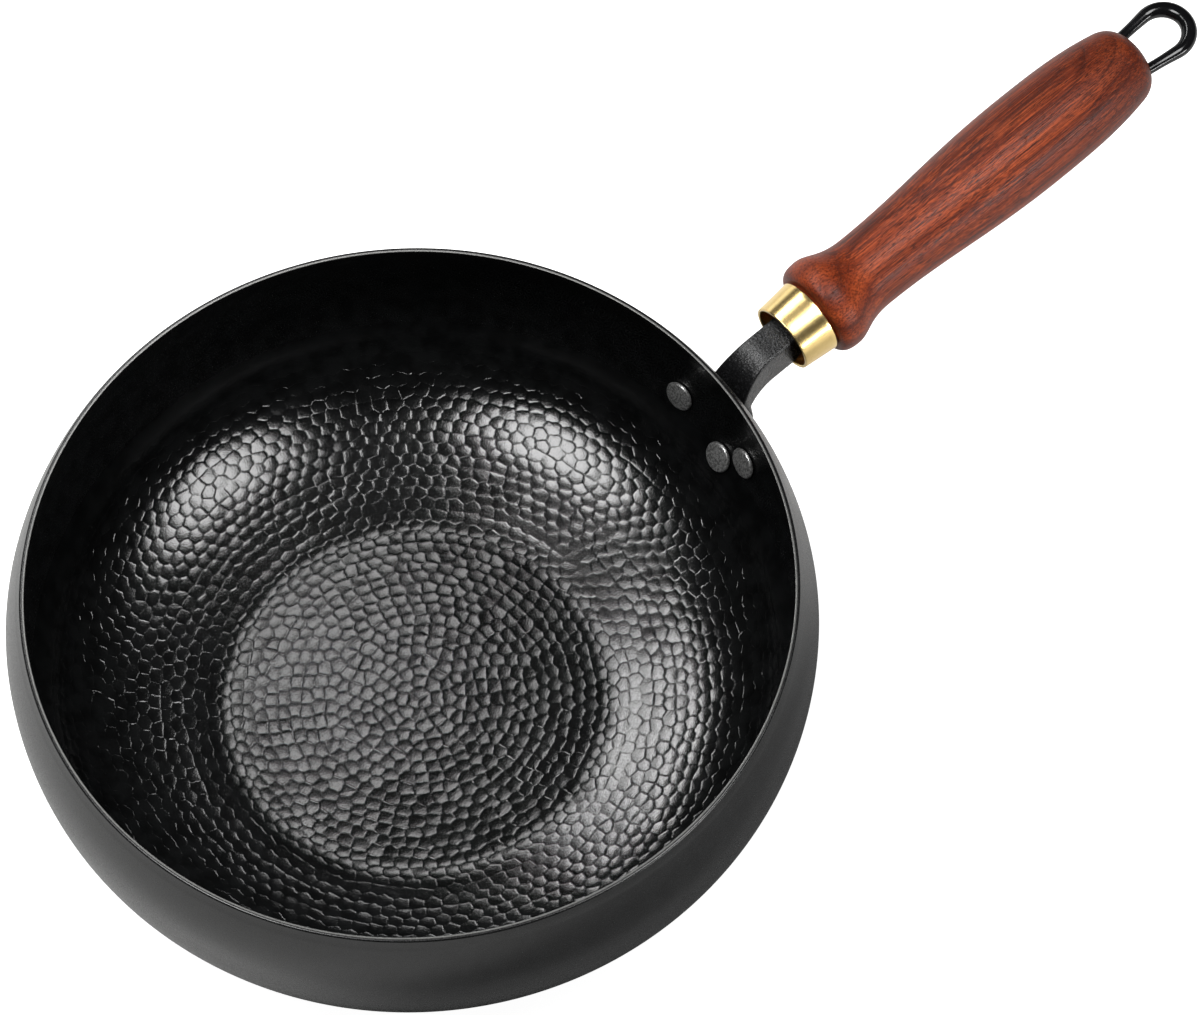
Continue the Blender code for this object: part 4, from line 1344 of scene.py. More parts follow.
@dataclass
class RivetSet:
    """Three rivets with a domed head inside the wok and a domed tail behind the bracket's plate."""

    bowl: BowlProfile
    sheet: float = 0.0025
    shank_radius: float = 0.003
    head_radius: float = 0.0065
    head_height: float = 0.0019
    head_edge: float = 0.0004
    crown: float = 0.30
    tail_radius: float = 0.0056
    tail_height: float = 0.0026
    lip_ease: float = 0.0002
    slope_reach: float = 0.002
    circle_points: int = 24
    halvings: int = 30
    dome_points: tuple[int, int] = (8, 12)
    steps: int = 64
    plans: tuple[RivetPlan, ...] = (
        RivetPlan("rivet_left", 0.0168, 0.0526),
        RivetPlan("rivet_right", -0.0236, 0.0526),
        RivetPlan("rivet_lower", -0.0108, 0.0623),
    )

    def placing(self, plan: RivetPlan) -> Matrix:
        """Frame on the wall under a rivet, Z out of the wok."""
        height = TOTAL_HEIGHT - plan.below_rim
        radius = float(self.bowl.radius_at(np.array(height), 0.0))
        reach = self.slope_reach
        rise = self.bowl.radius_at(np.array([height - reach, height + reach]), 0.0)
        slope = float(rise[1] - rise[0]) / (2 * reach)
        turn = plan.aside / radius
        seat = Vector((math.cos(turn) * radius, math.sin(turn) * radius, height))
        axis = Vector((math.cos(turn), math.sin(turn), -slope)).normalized()
        return Matrix.Translation(seat) @ axis.to_track_quat("Z", "Y").to_matrix().to_4x4()

    def surface_span(self, placing: Matrix, depth: float, radius: float) -> Pair:
        """Least and greatest height of the wall above a rivet's seat, on a circle about its axis.

        Args:
            placing: the rivet's frame.
            depth: depth of the surface under the wok's inside.
            radius: radius of the circle.

        Returns:
            The two heights, found by halving.
        """
        turn = round_circle(self.circle_points)
        low = np.full(len(turn), -radius)
        high = np.full(len(turn), 2 * radius)
        for _ in range(self.halvings):
            middle = (low + high) / 2
            points = placed(about_axis(radius, turn, middle), placing)
            inside = np.hypot(points[:, 0], points[:, 1]) < self.bowl.radius_at(points[:, 2], depth)
            low = np.where(inside, middle, low)
            high = np.where(inside, high, middle)
        return min(float(low.min()), depth), max(float(low.max()), depth)

    def dome(self, radius: float, edge: float, top: float) -> Array:
        """Slightly crowned top and a quarter circle round it, from the axis out to the radius at edge.

        Formula: the crown falls by a share of the height with the square of the distance from the axis, and
        the quarter circle takes the rest of the height as its radius.
        """
        fall = (top - edge) * self.crown
        rounding = abs(top - edge) - abs(fall)
        across = np.linspace(0.0, radius - rounding, self.dome_points[0], endpoint=False)
        crown = np.stack([across, top - fall * (across / (radius - rounding)) ** 2], axis=1)
        turn = np.linspace(0.0, math.pi / 2, self.dome_points[1])
        out = radius - rounding * (1.0 - np.sin(turn))
        side = np.stack([out, edge + (top - edge - fall) * np.cos(turn)], axis=1)
        return np.concatenate([crown, side])

    def build(self) -> list[Piece]:
        """Turns each rivet: tail, shank and head in one profile."""
        pieces = []
        for plan in self.plans:
            placing = self.placing(plan)
            under_head = self.surface_span(placing, 0.0, self.head_radius)[0] - GAP
            plate = self.bowl.wall + GAP + self.sheet
            over_plate = self.surface_span(placing, plate, self.tail_radius)[1] + GAP
            tail = self.dome(self.tail_radius, over_plate + self.head_edge, over_plate + self.tail_height)
            head = self.dome(self.head_radius, under_head - self.head_edge, under_head - self.head_height)
            ease = self.lip_ease
            shank = [
                [self.tail_radius, over_plate + ease], [self.tail_radius - ease, over_plate],
                [self.shank_radius, over_plate], [self.shank_radius, under_head],
                [self.head_radius - ease, under_head], [self.head_radius, under_head - ease],
            ]
            profile = np.concatenate([tail, shank, head[::-1]])
            pieces.append(turned(plan.name + "_dome", profile, self.steps, placing))
        return pieces


@dataclass
class HandleAxis:
    """The line that ferrule, grip and loop are centred on, rising slightly to the tail."""

    bowl: BowlProfile
    rise: float = math.radians(4.0)
    below_rim: float = 0.0431
    mouth_from_bulge: float = 0.0334

    def placing(self) -> Matrix:
        """Frame at the ferrule's mouth, Z towards the tail and X down."""
        turn = Matrix.Rotation(math.pi / 2 - self.rise, 4, "Y")
        out = self.bowl.rim_radius + self.bowl.bulge_beyond_rim + self.bowl.wall + self.mouth_from_bulge
        height = TOTAL_HEIGHT - self.below_rim + out * math.tan(self.rise)
        return Matrix.Translation((out, 0.0, height)) @ turn


@dataclass
class Ferrule:
    """Slightly conical brass tube, open at the front."""

    mouth_radius: float = 0.0149
    length: float = 0.0154
    taper: float = math.radians(5.2)
    wall: float = 0.0013
    edge_round: float = 0.0004
    lip_points: int = 6
    cone_points: tuple[int, int] = (10, 8)
    steps: int = 128

    def radius(self, along: float) -> float:
        """Outer radius at a distance behind the mouth."""
        return self.mouth_radius + along * math.tan(self.taper)

    def build(self, placing: Matrix) -> Piece:
        """Turns the ring: outer cone, rounded lips and inner cone."""
        rear, ease = self.length, self.edge_round
        rear_outer = self.radius(rear)
        mouth_inner = self.mouth_radius - self.wall
        outer_ends = ((rear_outer - ease, rear - ease), (self.mouth_radius - ease, ease))
        cone = np.linspace(outer_ends[0], outer_ends[1], self.cone_points[0])[1:-1] + [ease, 0.0]
        profile = np.concatenate([
            arc_points(outer_ends[0], ease, 90.0, 0.0, self.lip_points),
            cone,
            arc_points(outer_ends[1], ease, 0.0, -90.0, self.lip_points),
            arc_points((mouth_inner + ease, ease), ease, -90.0, -180.0, self.lip_points),
            np.linspace((mouth_inner, 2 * ease), (rear_outer - self.wall, rear), self.cone_points[1]),
        ])
        return turned("brass_ferrule", profile, self.steps, placing, Step.RING)


@dataclass
class Grip:
    """Turned grip: tenon, bead, neck, belly and rounded tail, bored for the tang."""

    ferrule: Ferrule
    length: float = 0.1764
    bead_radius: float = 0.0208
    bead_from_front: float = 0.0082
    bead_face_pull: float = 0.0038
    bead_crest_pull: float = 0.0052
    cove_crest_pull: float = 0.0058
    cove_neck_pull: float = 0.0125
    neck_radius: float = 0.0162
    neck_from_front: float = 0.0290
    swell_neck_pull: float = 0.0313
    swell_belly_pull: float = 0.0365
    belly_radius: float = 0.02055
    belly_from_front: float = 0.1170
    taper_belly_pull: float = 0.0200
    taper_tail_pull: float = 0.0160
    tail_radius: float = 0.0172
    tail_slope: float = math.radians(11.0)
    tail_round: float = 0.0105
    tail_round_pull: float = 0.0072
    tail_flat_pull: float = 0.0110
    joint_groove: float = 0.0006
    groove_depth: float = 0.0009
    tenon: float = 0.0068
    bore: float = 0.0096
    bore_depth: float = 0.0580
    curve_points: tuple[int, ...] = (24, 32, 48, 32, 24)
    steps: int = 144

    def side(self) -> Array:
        """Radius and distance behind the mouth, from the ferrule to the middle of the tail.

        Formula: five cubic curves joined smoothly at the bead's crest, the neck, the belly and the tail's
        shoulder.
        """
        front = self.ferrule.length + GAP
        tail = front + self.length
        seat_radius = self.ferrule.radius(self.ferrule.length) - self.ferrule.edge_round
        along = np.array([0.0, 1.0])
        aside = np.array([1.0, 0.0])
        closing = np.array([-math.sin(self.tail_slope), math.cos(self.tail_slope)])
        knots = np.array([
            [seat_radius, front + self.joint_groove],
            [self.bead_radius, front + self.bead_from_front],
            [self.neck_radius, front + self.neck_from_front],
            [self.belly_radius, front + self.belly_from_front],
            [self.tail_radius, tail - self.tail_round],
            [0.0, tail],
        ])
        pulls = [
            (self.bead_face_pull * aside, -self.bead_crest_pull * along),
            (self.cove_crest_pull * along, -self.cove_neck_pull * along),
            (self.swell_neck_pull * along, -self.swell_belly_pull * along),
            (self.taper_belly_pull * along, -self.taper_tail_pull * closing),
            (self.tail_round_pull * closing, self.tail_flat_pull * aside),
        ]
        curves = []
        for start, end, (out, back), count in zip(knots, knots[1:], pulls, self.curve_points):
            curves.append(bezier(start, start + out, end + back, end, count))
        return np.concatenate([curves[0]] + [c[1:] for c in curves[1:]])

    def build(self, placing: Matrix) -> Piece:
        """Turns the side, the groove behind the ferrule, the tenon and the bore in one profile."""
        ferrule = self.ferrule
        front = ferrule.length + GAP
        tenon_front = ferrule.length - self.tenon
        tenon_radius = ferrule.radius(tenon_front) - ferrule.wall - GAP
        slope = math.tan(ferrule.taper)
        seat_radius = self.side()[0, 0]
        rest = np.array([
            [seat_radius - self.groove_depth, front + self.joint_groove],
            [seat_radius - self.groove_depth, front],
            [tenon_radius + slope * (front - tenon_front), front],
            [tenon_radius, tenon_front],
            [self.bore, tenon_front],
            [self.bore, self.bore_depth],
            [0.0, self.bore_depth],
        ])
        profile = np.concatenate([self.side()[::-1], rest])
        return turned("turned_grip", profile, self.steps, placing)


@dataclass
class HangingLoop:
    """Round wire bent into an eye, both legs in the end grain, thinner in its legs than round the bend."""

    tail: float
    leg_wire: float = 0.0024
    bend_wire: float = 0.0034
    radius: float = 0.0108
    reach: float = 0.01425
    aside: float = -0.0005
    leg_spread: float = 0.0093
    leg_depth: float = 0.0200
    leg_points: int = 23
    ring_points: int = 97
    sides: int = 28

    def path(self) -> Array:
        """Centre line in the handle's frame: a leg touching the ring, the ring and the other leg.

        Formula: each leg runs from its root towards the ring's centre, turned by the angle whose sine is
        radius over distance, so that it touches the ring, which is centre + radius (0, sin a, cos a).
        """
        centre = np.array([0.0, self.aside, self.tail + self.reach])
        legs, touches = [], []
        for side in (1.0, -1.0):
            root = np.array([0.0, side * self.leg_spread, self.tail])
            span = centre - root
            distance = float(np.linalg.norm(span))
            opening = math.asin(self.radius / distance)
            heading = math.atan2(span[1], span[2]) + side * opening
            along = np.array([0.0, math.sin(heading), math.cos(heading)])
            touch = root + along * distance * math.cos(opening)
            buried = root - along * self.leg_depth
            legs.append(np.linspace(buried, touch, self.leg_points, endpoint=False))
            touches.append(math.atan2(touch[1] - centre[1], touch[2] - centre[2]))
        turn = np.linspace(touches[0], touches[1], self.ring_points)
        circle = np.stack([np.zeros_like(turn), np.sin(turn), np.cos(turn)], axis=1)
        return np.concatenate([legs[0], centre + self.radius * circle, legs[1][::-1]])

    def build(self, placing: Matrix) -> Piece:
        """Carries a circle along the path.

        Formula: point(i, j) = c(i) + w(i) (cos a(j) X + sin a(j) t(i) x X), with t the path's direction and w
        the wire's radius, which grows smoothly from leg to bend.
        """
        path = self.path()
        grow = blend(path[:, 2], self.tail + self.leg_wire, self.tail + self.reach + self.radius)
        wire = self.leg_wire + (self.bend_wire - self.leg_wire) * grow
        along = unit(np.gradient(path, axis=0))
        level = np.broadcast_to([1.0, 0.0, 0.0], path.shape)
        upright = np.cross(along, level)
        turn = round_circle(self.sides)
        ring = np.cos(turn)[None, :, None] * level[:, None] + np.sin(turn)[None, :, None] * upright[:, None]
        points = (path[:, None] + wire[:, None, None] * ring).reshape(-1, 3)
        faces = grid_quads(len(path), self.sides, False, True)[:, ::-1]
        count = len(points)
        first_cap = fan(count, 0, self.sides)[:, [0, 2, 1]]
        last_cap = fan(count + 1, count - self.sides, self.sides)
        points = np.concatenate([points, path[:1], path[-1:]])
        return mesh_object("wire_loop", placed(points, placing), [faces, first_cap, last_cap])


@dataclass(frozen=True)
class SheetFace:
    """One face of the bracket's sheet: its distance above the sheet's middle and the radius of its folds."""

    above: float
    fold_radius: float


@dataclass
class Bracket:
    """Sheet pressing: a plate that follows the wall, and an arm that folds into a channel and a tang.

    The sheet's centre line lies in the handle's plane. Positions along it are arc lengths that start as those
    of the wall.
    """

    bowl: BowlProfile
    axis: HandleAxis
    rivets: RivetSet
    ferrule: Ferrule
    tenon: float
    sheet: float = 0.0025
    outer_fold: float = 0.0010
    inner_fold: float = 0.0004
    plate_margin: float = 0.0075
    shoulder: float = 0.0065
    fold_run: float = 0.013
    leaves_below_rim: float = 0.0585
    root_pull: float = 0.0145
    bend_pull: float = 0.0135
    bend_to_mouth: float = 0.0105
    crease: float = 0.009
    crease_blend: float = 0.004
    root_width: float = 0.0205
    arm_width: float = 0.01375
    arm_depth: float = 0.0166
    root_flange: float = 0.005
    flange_root_pull: float = 0.0065
    flange_bend_pull: float = 0.0095
    top_above_axis: float = 0.0064
    tang_depth: float = 0.0120
    tang_end_width: float = 0.0095
    tang_end_depth: float = 0.0065
    tang_length: float = 0.056
    wall_step: float = 0.004
    bend_step: float = 0.0015
    edge_round: float = 0.00045
    flat_share: float = 0.55
    fold_share: float = 0.3
    station_counts: tuple[int, int, int] = (6, 7, 8)
    least_turn: float = 1e-4
    bend_points: tuple[int, int] = (400, 200)
    edge_points: int = 120
    tail_points: int = 40
    headings: tuple[float, int] = (89.0, 357)
    ends_inset: float = 1e-5
    row_counts: tuple[int, ...] = (14, 16, 12, 64, 56)
    wall_arc: Array = field(init=False)
    wall_line: Array = field(init=False)
    discs: Array = field(init=False)
    bottom: float = field(init=False)
    top: float = field(init=False)
    leave: float = field(init=False)
    bend_end: float = field(init=False)
    mouth_arc: float = field(init=False)
    end_arc: float = field(init=False)
    path_arc: Array = field(init=False)
    path: Array = field(init=False)
    square: Array = field(init=False)
    bulge_radius: float = field(init=False)
    flange_edge: Array = field(init=False)

    def __post_init__(self) -> None:
        """Lays out the sheet's centre line in the handle's plane and the flanges' lower edge."""
        bowl = self.bowl
        middle = bowl.wall + GAP + self.sheet / 2
        self.wall_arc = bowl.wall_arcs()
        self.wall_line = bowl.at(self.wall_arc, middle)
        self.discs = np.array([self.rivet_place(plan) for plan in self.rivets.plans])
        self.bottom = float(self.discs[:, 0].min() - self.plate_margin)
        self.top = float(self.discs[:, 0].max() + self.plate_margin)
        height = TOTAL_HEIGHT - self.leaves_below_rim
        leave = float(np.interp(height, self.wall_line[:, 1], self.wall_arc))
        start = self.on_wall(np.array(leave))
        beyond, before = (self.on_wall(np.array(leave + k * self.wall_step)) for k in (1, -1))
        ahead = unit(beyond - before)
        rise = np.array([math.cos(self.axis.rise), math.sin(self.axis.rise)])
        self.square = np.array([-rise[1], rise[0]])
        mouth = self.axis.placing().translation
        mouth = np.array([mouth.x, mouth.z]) + self.square * (self.top_above_axis - self.sheet / 2)
        bend_end = mouth - rise * self.bend_to_mouth
        fine, even = self.bend_points
        pulls = (start + ahead * self.root_pull, bend_end - rise * self.bend_pull)
        bend = evenly(bezier(start, *pulls, bend_end, fine), even)
        bend_arc = leave + arc_lengths(bend)
        self.leave, self.bend_end = leave, float(bend_arc[-1])
        self.mouth_arc = self.bend_end + self.bend_to_mouth
        self.end_arc = self.mouth_arc + self.tang_length
        low = self.wall_arc < leave
        beyond_end = self.end_arc - self.bend_end + 2 * self.bend_step
        tail = np.linspace(0.0, beyond_end, self.tail_points)[1:]
        self.path_arc = np.concatenate([self.wall_arc[low], bend_arc, self.bend_end + tail])
        self.path = np.concatenate([self.wall_line[low], bend, bend_end + rise * tail[:, None]])
        self.bulge_radius = bowl.rim_radius + bowl.bulge_beyond_rim
        root = self.on_path(np.array(self.top))
        root_edge = root - self.normal(np.array(self.top)) * (self.root_flange - self.sheet / 2)
        along = unit(self.on_path(np.array(self.top + self.wall_step)) - root)
        full_edge = bend_end - self.square * (self.arm_depth - self.sheet / 2)
        pulls = (root_edge + along * self.flange_root_pull, full_edge - rise * self.flange_bend_pull)
        self.flange_edge = bezier(root_edge, *pulls, full_edge, self.edge_points)

    def rivet_place(self, plan: RivetPlan) -> Pair:
        """Arc length and distance aside of a rivet on the unrolled wall."""
        return self.bowl.arc_at_height(TOTAL_HEIGHT - plan.below_rim), plan.aside

    def on_wall(self, arc: Array) -> Array:
        """Point of the sheet's middle where it lies on the wall."""
        return read_line(arc, self.wall_arc, self.wall_line)

    def on_path(self, arc: Array) -> Array:
        """Point of the sheet's centre line."""
        return read_line(arc, self.path_arc, self.path)

    def normal(self, arc: Array) -> Array:
        """Side of the centre line that faces the wok, and faces up along the handle."""
        ahead = unit(self.on_path(arc + self.bend_step) - self.on_path(arc - self.bend_step))
        return np.stack([-ahead[..., 1], ahead[..., 0]], axis=-1)

    def plate_side(self, arc: Array, side: float) -> Array:
        """Signed distance aside of the plate's edge.

        Formula: the plate is the hull of the three rivets' discs, so its edge is the least, over all
        directions, of (support - arc sin) / cos, support being the furthest reach of the discs.
        """
        arc = np.clip(arc, self.bottom + self.ends_inset, self.top - self.ends_inset)
        widest, count = self.headings
        heading = np.radians(np.linspace(-widest, widest, count))
        up, aside = self.discs[:, 0][:, None], self.discs[:, 1][:, None]
        reach = up * np.sin(heading) + side * aside * np.cos(heading)
        support = reach.max(axis=0) + self.plate_margin
        limits = (support - arc[:, None] * np.sin(heading)) / np.cos(heading)
        return side * limits.min(axis=1)

    def half_width(self, arc: Array) -> Array:
        """Half of the arm's outer width."""
        narrowing = blend(arc, self.top, self.bend_end)
        width = self.root_width + (self.arm_width - self.root_width) * narrowing
        tail = blend(arc, self.mouth_arc + self.ferrule.length, self.end_arc)
        return (width + (self.tang_end_width - self.arm_width) * tail) / 2

    def drop(self, arc: Array) -> Array:
        """Step from the sheet's middle to the flanges' lower edge."""
        low = -self.normal(arc) * (self.root_flange - self.sheet / 2)
        along = (arc - self.top) / (self.bend_end - self.top) * (len(self.flange_edge) - 1)
        edge = read_line(along, np.arange(len(self.flange_edge)), self.flange_edge)
        curved = edge - self.on_path(arc)
        step = blend(arc, self.mouth_arc, self.mouth_arc + self.ferrule.length - self.tenon - self.bowl.wall)
        tail = blend(arc, self.mouth_arc + self.ferrule.length, self.end_arc)
        depth = self.arm_depth + (self.tang_depth - self.arm_depth) * step
        depth = depth + (self.tang_end_depth - self.tang_depth) * tail
        straight = -self.square * (depth - self.sheet / 2)[:, None]
        beyond_plate = np.where((arc < self.bend_end)[:, None], curved, straight)
        return np.where((arc <= self.top)[:, None], low, beyond_plate)

    def middle_line(self, arc: Array) -> Array:
        """Distance aside of the middle column, nought wherever the plate spans the handle's plane."""
        least = self.plate_margin / 2
        left, right = self.plate_side(arc, 1.0), self.plate_side(arc, -1.0)
        shift = np.minimum(0.0, left - least) + np.maximum(0.0, right + least)
        return np.where(arc > self.leave, 0.0, shift)

    def rows(self) -> Array:
        """Arc lengths of the rows, closer at the plate's rounded ends."""
        low, middle, high, bent, straight = self.row_counts
        caps = self.bottom + self.plate_margin * (1.0 - np.cos(np.radians(np.linspace(12.0, 80.0, low))))
        plate = np.linspace(self.bottom + self.plate_margin, self.top - self.plate_margin, middle)
        ends = self.top - self.plate_margin * (1.0 - np.cos(np.radians(np.linspace(80.0, 0.0, high))))
        bend = np.linspace(self.top, self.bend_end, bent)
        tang = np.linspace(self.bend_end, self.end_arc, straight)
        return np.unique(np.round(np.concatenate([caps, plate, ends, bend, tang]), 6))

    def side_points(self, arc: Array, side: float, face: SheetFace) -> Array:
        """Points of one half of a face, from beside the middle column out to the edge.

        Formula: a station along the unrolled row is bent round the fold by the row's angle, which gives a
        distance across and a fall. On the plate it is laid on the wall instead, and between the two the
        point is a blend.

        Args:
            arc: arc lengths of the rows.
            side: 1 for the left half and -1 for the right.
            face: the face of the sheet.

        Returns:
            Array of rows by stations by x, y, z.
        """
        centre = self.on_path(arc) + face.above * self.normal(arc)
        drop = self.drop(arc)
        length_down = np.linalg.norm(drop, axis=1)
        down = drop / length_down[:, None]
        fall_end = length_down + face.above
        angle = math.pi / 2 * blend(arc, self.top, self.top + self.fold_run)
        outer_side = self.half_width(arc) - (self.sheet / 2 - face.above)
        flat = outer_side - face.fold_radius
        plate = np.abs(self.plate_side(arc, side) - self.middle_line(arc))
        arm = flat + face.fold_radius * (math.pi / 2 - 1.0) + fall_end
        edge = plate + (arm - plate) * blend(arc, self.top, self.top + self.shoulder)
        start = np.minimum(flat, self.flat_share * edge)
        length = np.minimum(face.fold_radius * math.pi / 2, self.fold_share * edge)
        start, length, edge, turn = (column[:, None] for column in (start, length, edge, angle))
        shares = [np.linspace(0.0, 1.0, count + 1)[1:] for count in self.station_counts]
        after_fold = start + length + (edge - start - length) * shares[2]
        stations = np.concatenate([start * shares[0], start + length * shares[1], after_fold], axis=1)
        beyond = np.maximum(stations - (start + length), 0.0)
        radius = length / np.maximum(turn, self.least_turn)
        swept = np.clip(stations - start, 0.0, length) / radius
        across = np.minimum(stations, start) + radius * np.sin(swept) + beyond * np.cos(turn)
        fall = radius * (1.0 - np.cos(swept)) + beyond * np.sin(turn)
        out, height = (centre[:, k, None] + down[:, k, None] * fall for k in range(2))
        on_arm = np.stack([out, side * across, height], axis=-1)
        around = (self.middle_line(arc)[:, None] + side * stations) / self.bulge_radius
        wall = self.wall_face(arc, face)
        on_wall = about_axis(wall[:, :1], around, wall[:, 1:])
        share = 1.0 - blend(stations, self.crease, self.crease + self.crease_blend)
        share = share * (arc > self.leave)[:, None]
        share = np.maximum(share, blend(arc, self.top, self.top + self.shoulder)[:, None])[..., None]
        return on_wall + (on_arm - on_wall) * share

    def wall_face(self, arc: Array, face: SheetFace) -> Array:
        """Radius and height of a face where the sheet lies on the wall."""
        depth = self.bowl.wall + GAP + self.sheet / 2 - face.above
        return self.bowl.at(np.minimum(arc, self.wall_arc[-1]), depth)

    def face_points(self, arc: Array, face: SheetFace) -> Array:
        """All points of a face, from the left edge across the middle column to the right edge."""
        left = self.side_points(arc, 1.0, face)[:, ::-1]
        right = self.side_points(arc, -1.0, face)
        centre = self.on_path(arc) + face.above * self.normal(arc)
        turn = self.middle_line(arc) / self.bulge_radius
        column = about_axis(centre[:, 0], turn, centre[:, 1])
        return np.concatenate([left, column[:, None], right], axis=1)

    def build(self) -> Piece:
        """Makes the two faces, joins them round their edge and eases that edge."""
        arc = self.rows()
        upper = self.face_points(arc, SheetFace(self.sheet / 2, self.outer_fold))
        lower = self.face_points(arc, SheetFace(-self.sheet / 2, self.inner_fold))
        rows, columns = upper.shape[:2]
        count = rows * columns
        inside = grid_quads(rows, columns, False, False)
        number = np.arange(count).reshape(rows, columns)
        rim = np.concatenate([number[0, :-1], number[:-1, -1], number[-1, :0:-1], number[:0:-1, 0]])
        after = np.roll(rim, -1)
        band = np.stack([after, rim, rim + count, after + count], axis=1)
        points = np.concatenate([upper.reshape(-1, 3), lower.reshape(-1, 3)])
        piece = mesh_object("pressed_bracket", points, [inside[:, ::-1], inside + count, band])
        ease = piece.modifiers.new("eased edges", "BEVEL")
        ease.width = self.edge_round
        ease.segments = 3
        ease.limit_method = "ANGLE"
        ease.angle_limit = math.radians(50.0)
        return piece


def standing(across: Vector, upright: Vector, back: Vector, place: Vector) -> Matrix:
    """Frame of a camera or a light from the directions of its own axes and its place."""
    return Matrix([*zip(across, upright, back, place), (0.0, 0.0, 0.0, 1.0)])


@dataclass(frozen=True)
class SoftLight:
    """An oval soft light that faces the wok.

    Its radiance is its power over pi and its area.
    """

    name: str
    place: Triple
    half_width: float
    half_height: float
    roll: float
    radiance: float
    aim: Triple = (0.0, 0.0, 0.02)

    def build(self) -> Piece:
        """Makes the light, faces it to its aim and rolls it about that line by its angle in degrees."""
        place = Vector(self.place)
        ahead = (Vector(self.aim) - place).normalized()
        level = ahead.cross(Vector((0.0, 0.0, 1.0))).normalized()
        turn = math.radians(self.roll)
        across = level * math.cos(turn) + ahead.cross(level) * math.sin(turn)
        upright = across.cross(ahead)
        data = bpy.data.lights.new(self.name, "AREA")
        data.shape = "ELLIPSE"
        data.size = 2 * self.half_width
        data.size_y = 2 * self.half_height
        data.energy = self.radiance * math.pi * math.pi * self.half_width * self.half_height
        light = bpy.data.objects.new(self.name, data)
        light.matrix_world = standing(across, upright, -ahead, place)
        light.visible_camera = False
        bpy.context.scene.collection.objects.link(light)
        return light


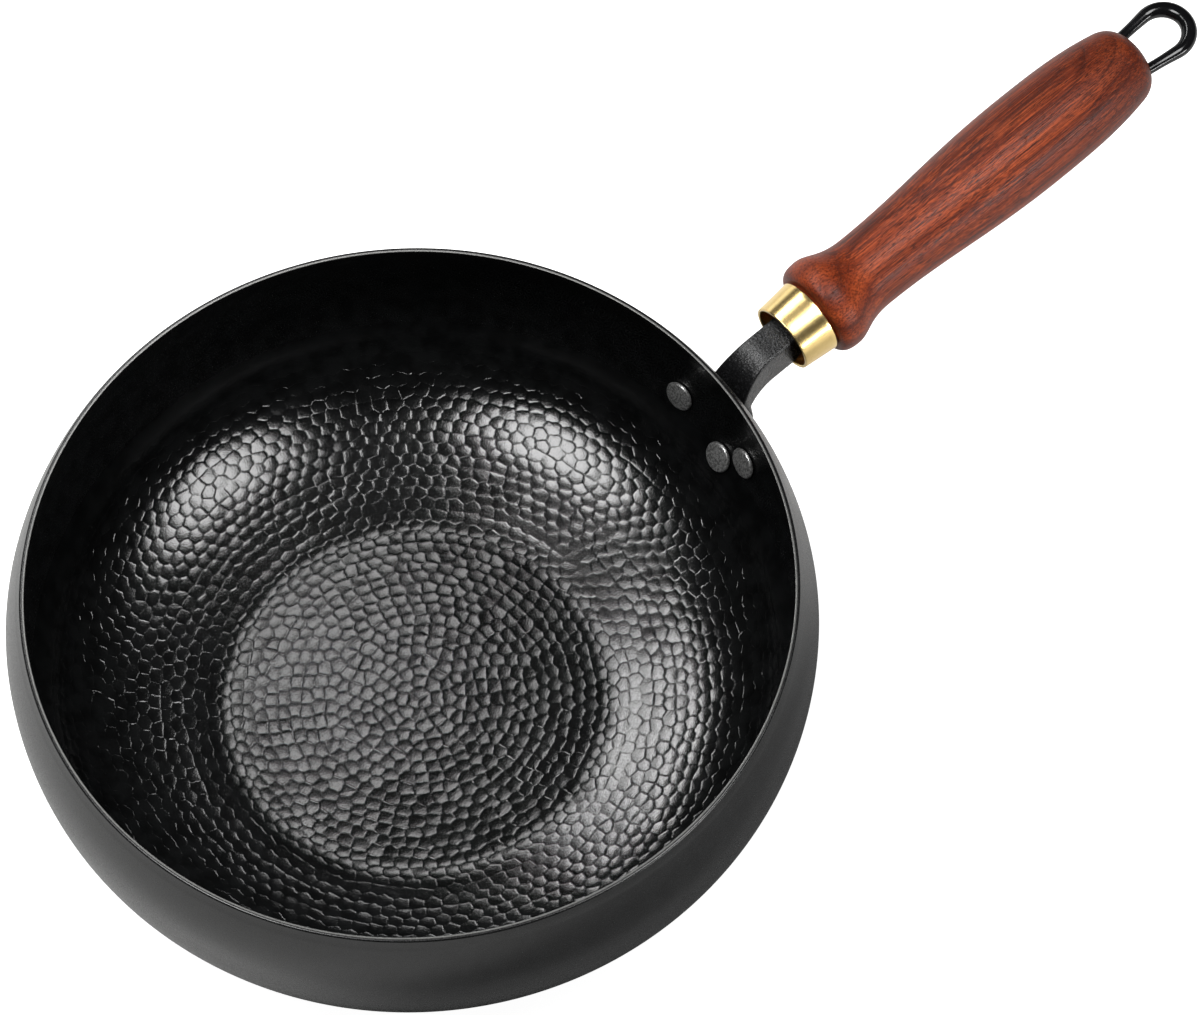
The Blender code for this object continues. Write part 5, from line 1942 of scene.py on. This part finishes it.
@dataclass
class Studio:
    """Camera at the photograph's angle, pale floor and soft lights."""

    floor_size: float = 12.0
    floor_pale: Triple = (0.86, 0.86, 0.85)
    # Painted shadow: the floor's colour falls to this grey in a soft round patch in front of the bowl.
    floor_painted_shadow: Triple = (0.22, 0.22, 0.22)
    painted_shadow_centre: Triple = (0.035, -0.18, 0.0)
    painted_shadow_blend: Pair = (0.14, 0.27)
    floor_glow: float = 0.96
    floor_gap: float = 0.0001
    backdrop: float = 1.0
    ambient: float = 0.02
    lights: tuple[SoftLight, ...] = (
        SoftLight("left_glare_light", (0.420, -0.439, 1.384), 0.200, 0.420, 42.8, 14.5),
        SoftLight("top_glare_light", (-0.540, 0.237, 1.696), 0.430, 0.285, 30.1, 16.5),
        SoftLight("far_light", (0.211, 1.280, 1.606), 0.470, 0.090, -45.1, 20.5),
        SoftLight("disc_light", (0.139, 0.285, 0.573), 0.085, 0.062, -16.6, 8.5),
        SoftLight("side_light", (0.700, -1.735, 0.350), 0.350, 0.120, 0.0, 30.0, (0.3, 0.0, 0.08)),
        SoftLight("rear_card", (0.350, 1.600, 0.250), 0.900, 0.220, 0.0, 1.6, (0.3, 0.0, 0.08)),
    )

    def camera(self) -> Piece:
        """Sets the camera by its place and its three directions."""
        data = bpy.data.cameras.new("camera")
        data.lens = CAMERA_LENS
        data.sensor_fit = "HORIZONTAL"
        data.sensor_width = CAMERA_SENSOR
        data.clip_end = 100.0
        camera = bpy.data.objects.new("camera", data)
        camera.matrix_world = standing(CAMERA_RIGHT, CAMERA_UP, [-c for c in CAMERA_VIEW], CAMERA_PLACE)
        bpy.context.scene.collection.objects.link(camera)
        bpy.context.scene.camera = camera
        return camera

    def floor(self) -> Piece:
        """Pale floor a little below the underside, with a glow of its own for the camera only.

        It is grey in a soft round patch in front of the bowl. This is a painted shadow of the bowl in the
        floor's colour: the camera does not see it under the glow, but it shows in reflections and bounced
        light.
        """
        half = self.floor_size / 2
        corners = [[-half, -half], [half, -half], [half, half], [-half, half]]
        points = np.array([[*corner, -self.floor_gap] for corner in corners])
        floor = mesh_object("studio_floor", points, [np.array([[0, 1, 2, 3]])])
        material, board, shader = new_material("pale_floor")
        # Painted shadow: grey near the patch's centre, pale further away.
        ends = {0: board.place(), 1: self.painted_shadow_centre}
        away = board.add("VectorMath", ends, operation="DISTANCE").outputs["Value"]
        share = board.span(away, *self.painted_shadow_blend, 0.0, 1.0)
        tone = board.mix(share, shade(self.floor_painted_shadow), shade(self.floor_pale))
        board.tree.links.new(tone, shader.inputs["Base Color"])
        shader.inputs["Roughness"].default_value = 0.9
        shader.inputs["Specular IOR Level"].default_value = 0.0
        glow = board.add("Emission", {"Color": WHITE, "Strength": self.floor_glow})
        both = board.add("AddShader", {0: shader.outputs[0], 1: glow.outputs[0]})
        seen = board.add("LightPath").outputs["Is Camera Ray"]
        choice = board.add("MixShader", {0: seen, 1: shader.outputs[0], 2: both.outputs[0]})
        board.tree.links.new(choice.outputs[0], board.tree.nodes["Material Output"].inputs["Surface"])
        floor.data.materials.append(material)
        return floor

    def surroundings(self) -> None:
        """World that is white behind the object and nearly dark in reflections."""
        world = bpy.data.worlds.new("studio")
        world.use_nodes = True
        board = NodeBoard(world.node_tree)
        background = world.node_tree.nodes["Background"]
        seen = board.add("LightPath").outputs["Is Camera Ray"]
        level = board.sum(board.times(seen, self.backdrop - self.ambient), self.ambient)
        board.tree.links.new(level, background.inputs["Strength"])
        background.inputs["Color"].default_value = WHITE
        bpy.context.scene.world = world

    def build(self) -> None:
        """Makes camera, floor, world and lights."""
        self.camera()
        self.floor()
        self.surroundings()
        for light in self.lights:
            light.build()
        bpy.context.scene.view_settings.view_transform = "Standard"


def dress(piece: Piece, material: bpy.types.Material, slot: Slot, *nodes: str) -> None:
    """Gives a piece its material and its place in the frame.

    Args:
        piece: the piece.
        material: its finish.
        slot: the record's slot that the finish belongs to; not used.
        nodes: CAD nodes that it stands for.
    """
    piece.data.materials.clear()
    piece.data.materials.append(material)
    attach(piece, BODY)
    if nodes:
        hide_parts(*nodes)
    LOG.info("%s: %d faces", piece.name, len(piece.data.polygons))


def main() -> None:
    """Builds the studio and the pieces."""
    logging.basicConfig(level=logging.INFO, format="%(name)s: %(message)s")
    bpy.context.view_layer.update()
    Studio().build()

    bowl = BowlProfile()
    lining = HammeredLining(bowl)
    shell = IronShell(bowl, lining)
    smooth_iron = replace(IRON, name="smooth_iron", roughness=0.28, height=0.000006, lip=shell.ground_lip())
    hammered_iron = IRON.material()
    dress(shell.build(), smooth_iron.material(), Slot.IRON, "pan_body")
    for piece in lining.build():
        dress(piece, hammered_iron, Slot.IRON)

    rivets = RivetSet(bowl)
    grey = STEEL.material()
    for plan, piece in zip(rivets.plans, rivets.build()):
        dress(piece, grey, Slot.RIVET, plan.name)

    axis = HandleAxis(bowl)
    placing = axis.placing()
    ferrule = Ferrule()
    grip = Grip(ferrule)
    bracket = Bracket(bowl, axis, rivets, ferrule, grip.tenon)
    dress(bracket.build(), POWDER.material(), Slot.BRACKET, "handle_bracket")
    dress(ferrule.build(placing), BrassFinish(placing).material(), Slot.BRASS, "ferrule")
    dress(grip.build(placing), WoodFinish(placing).material(), Slot.WOOD, "wooden_grip")
    loop = HangingLoop(ferrule.length + GAP + grip.length)
    dress(loop.build(placing), ENAMEL.material(), Slot.WIRE, "hanging_loop")


if __name__ == "__main__":
    main()
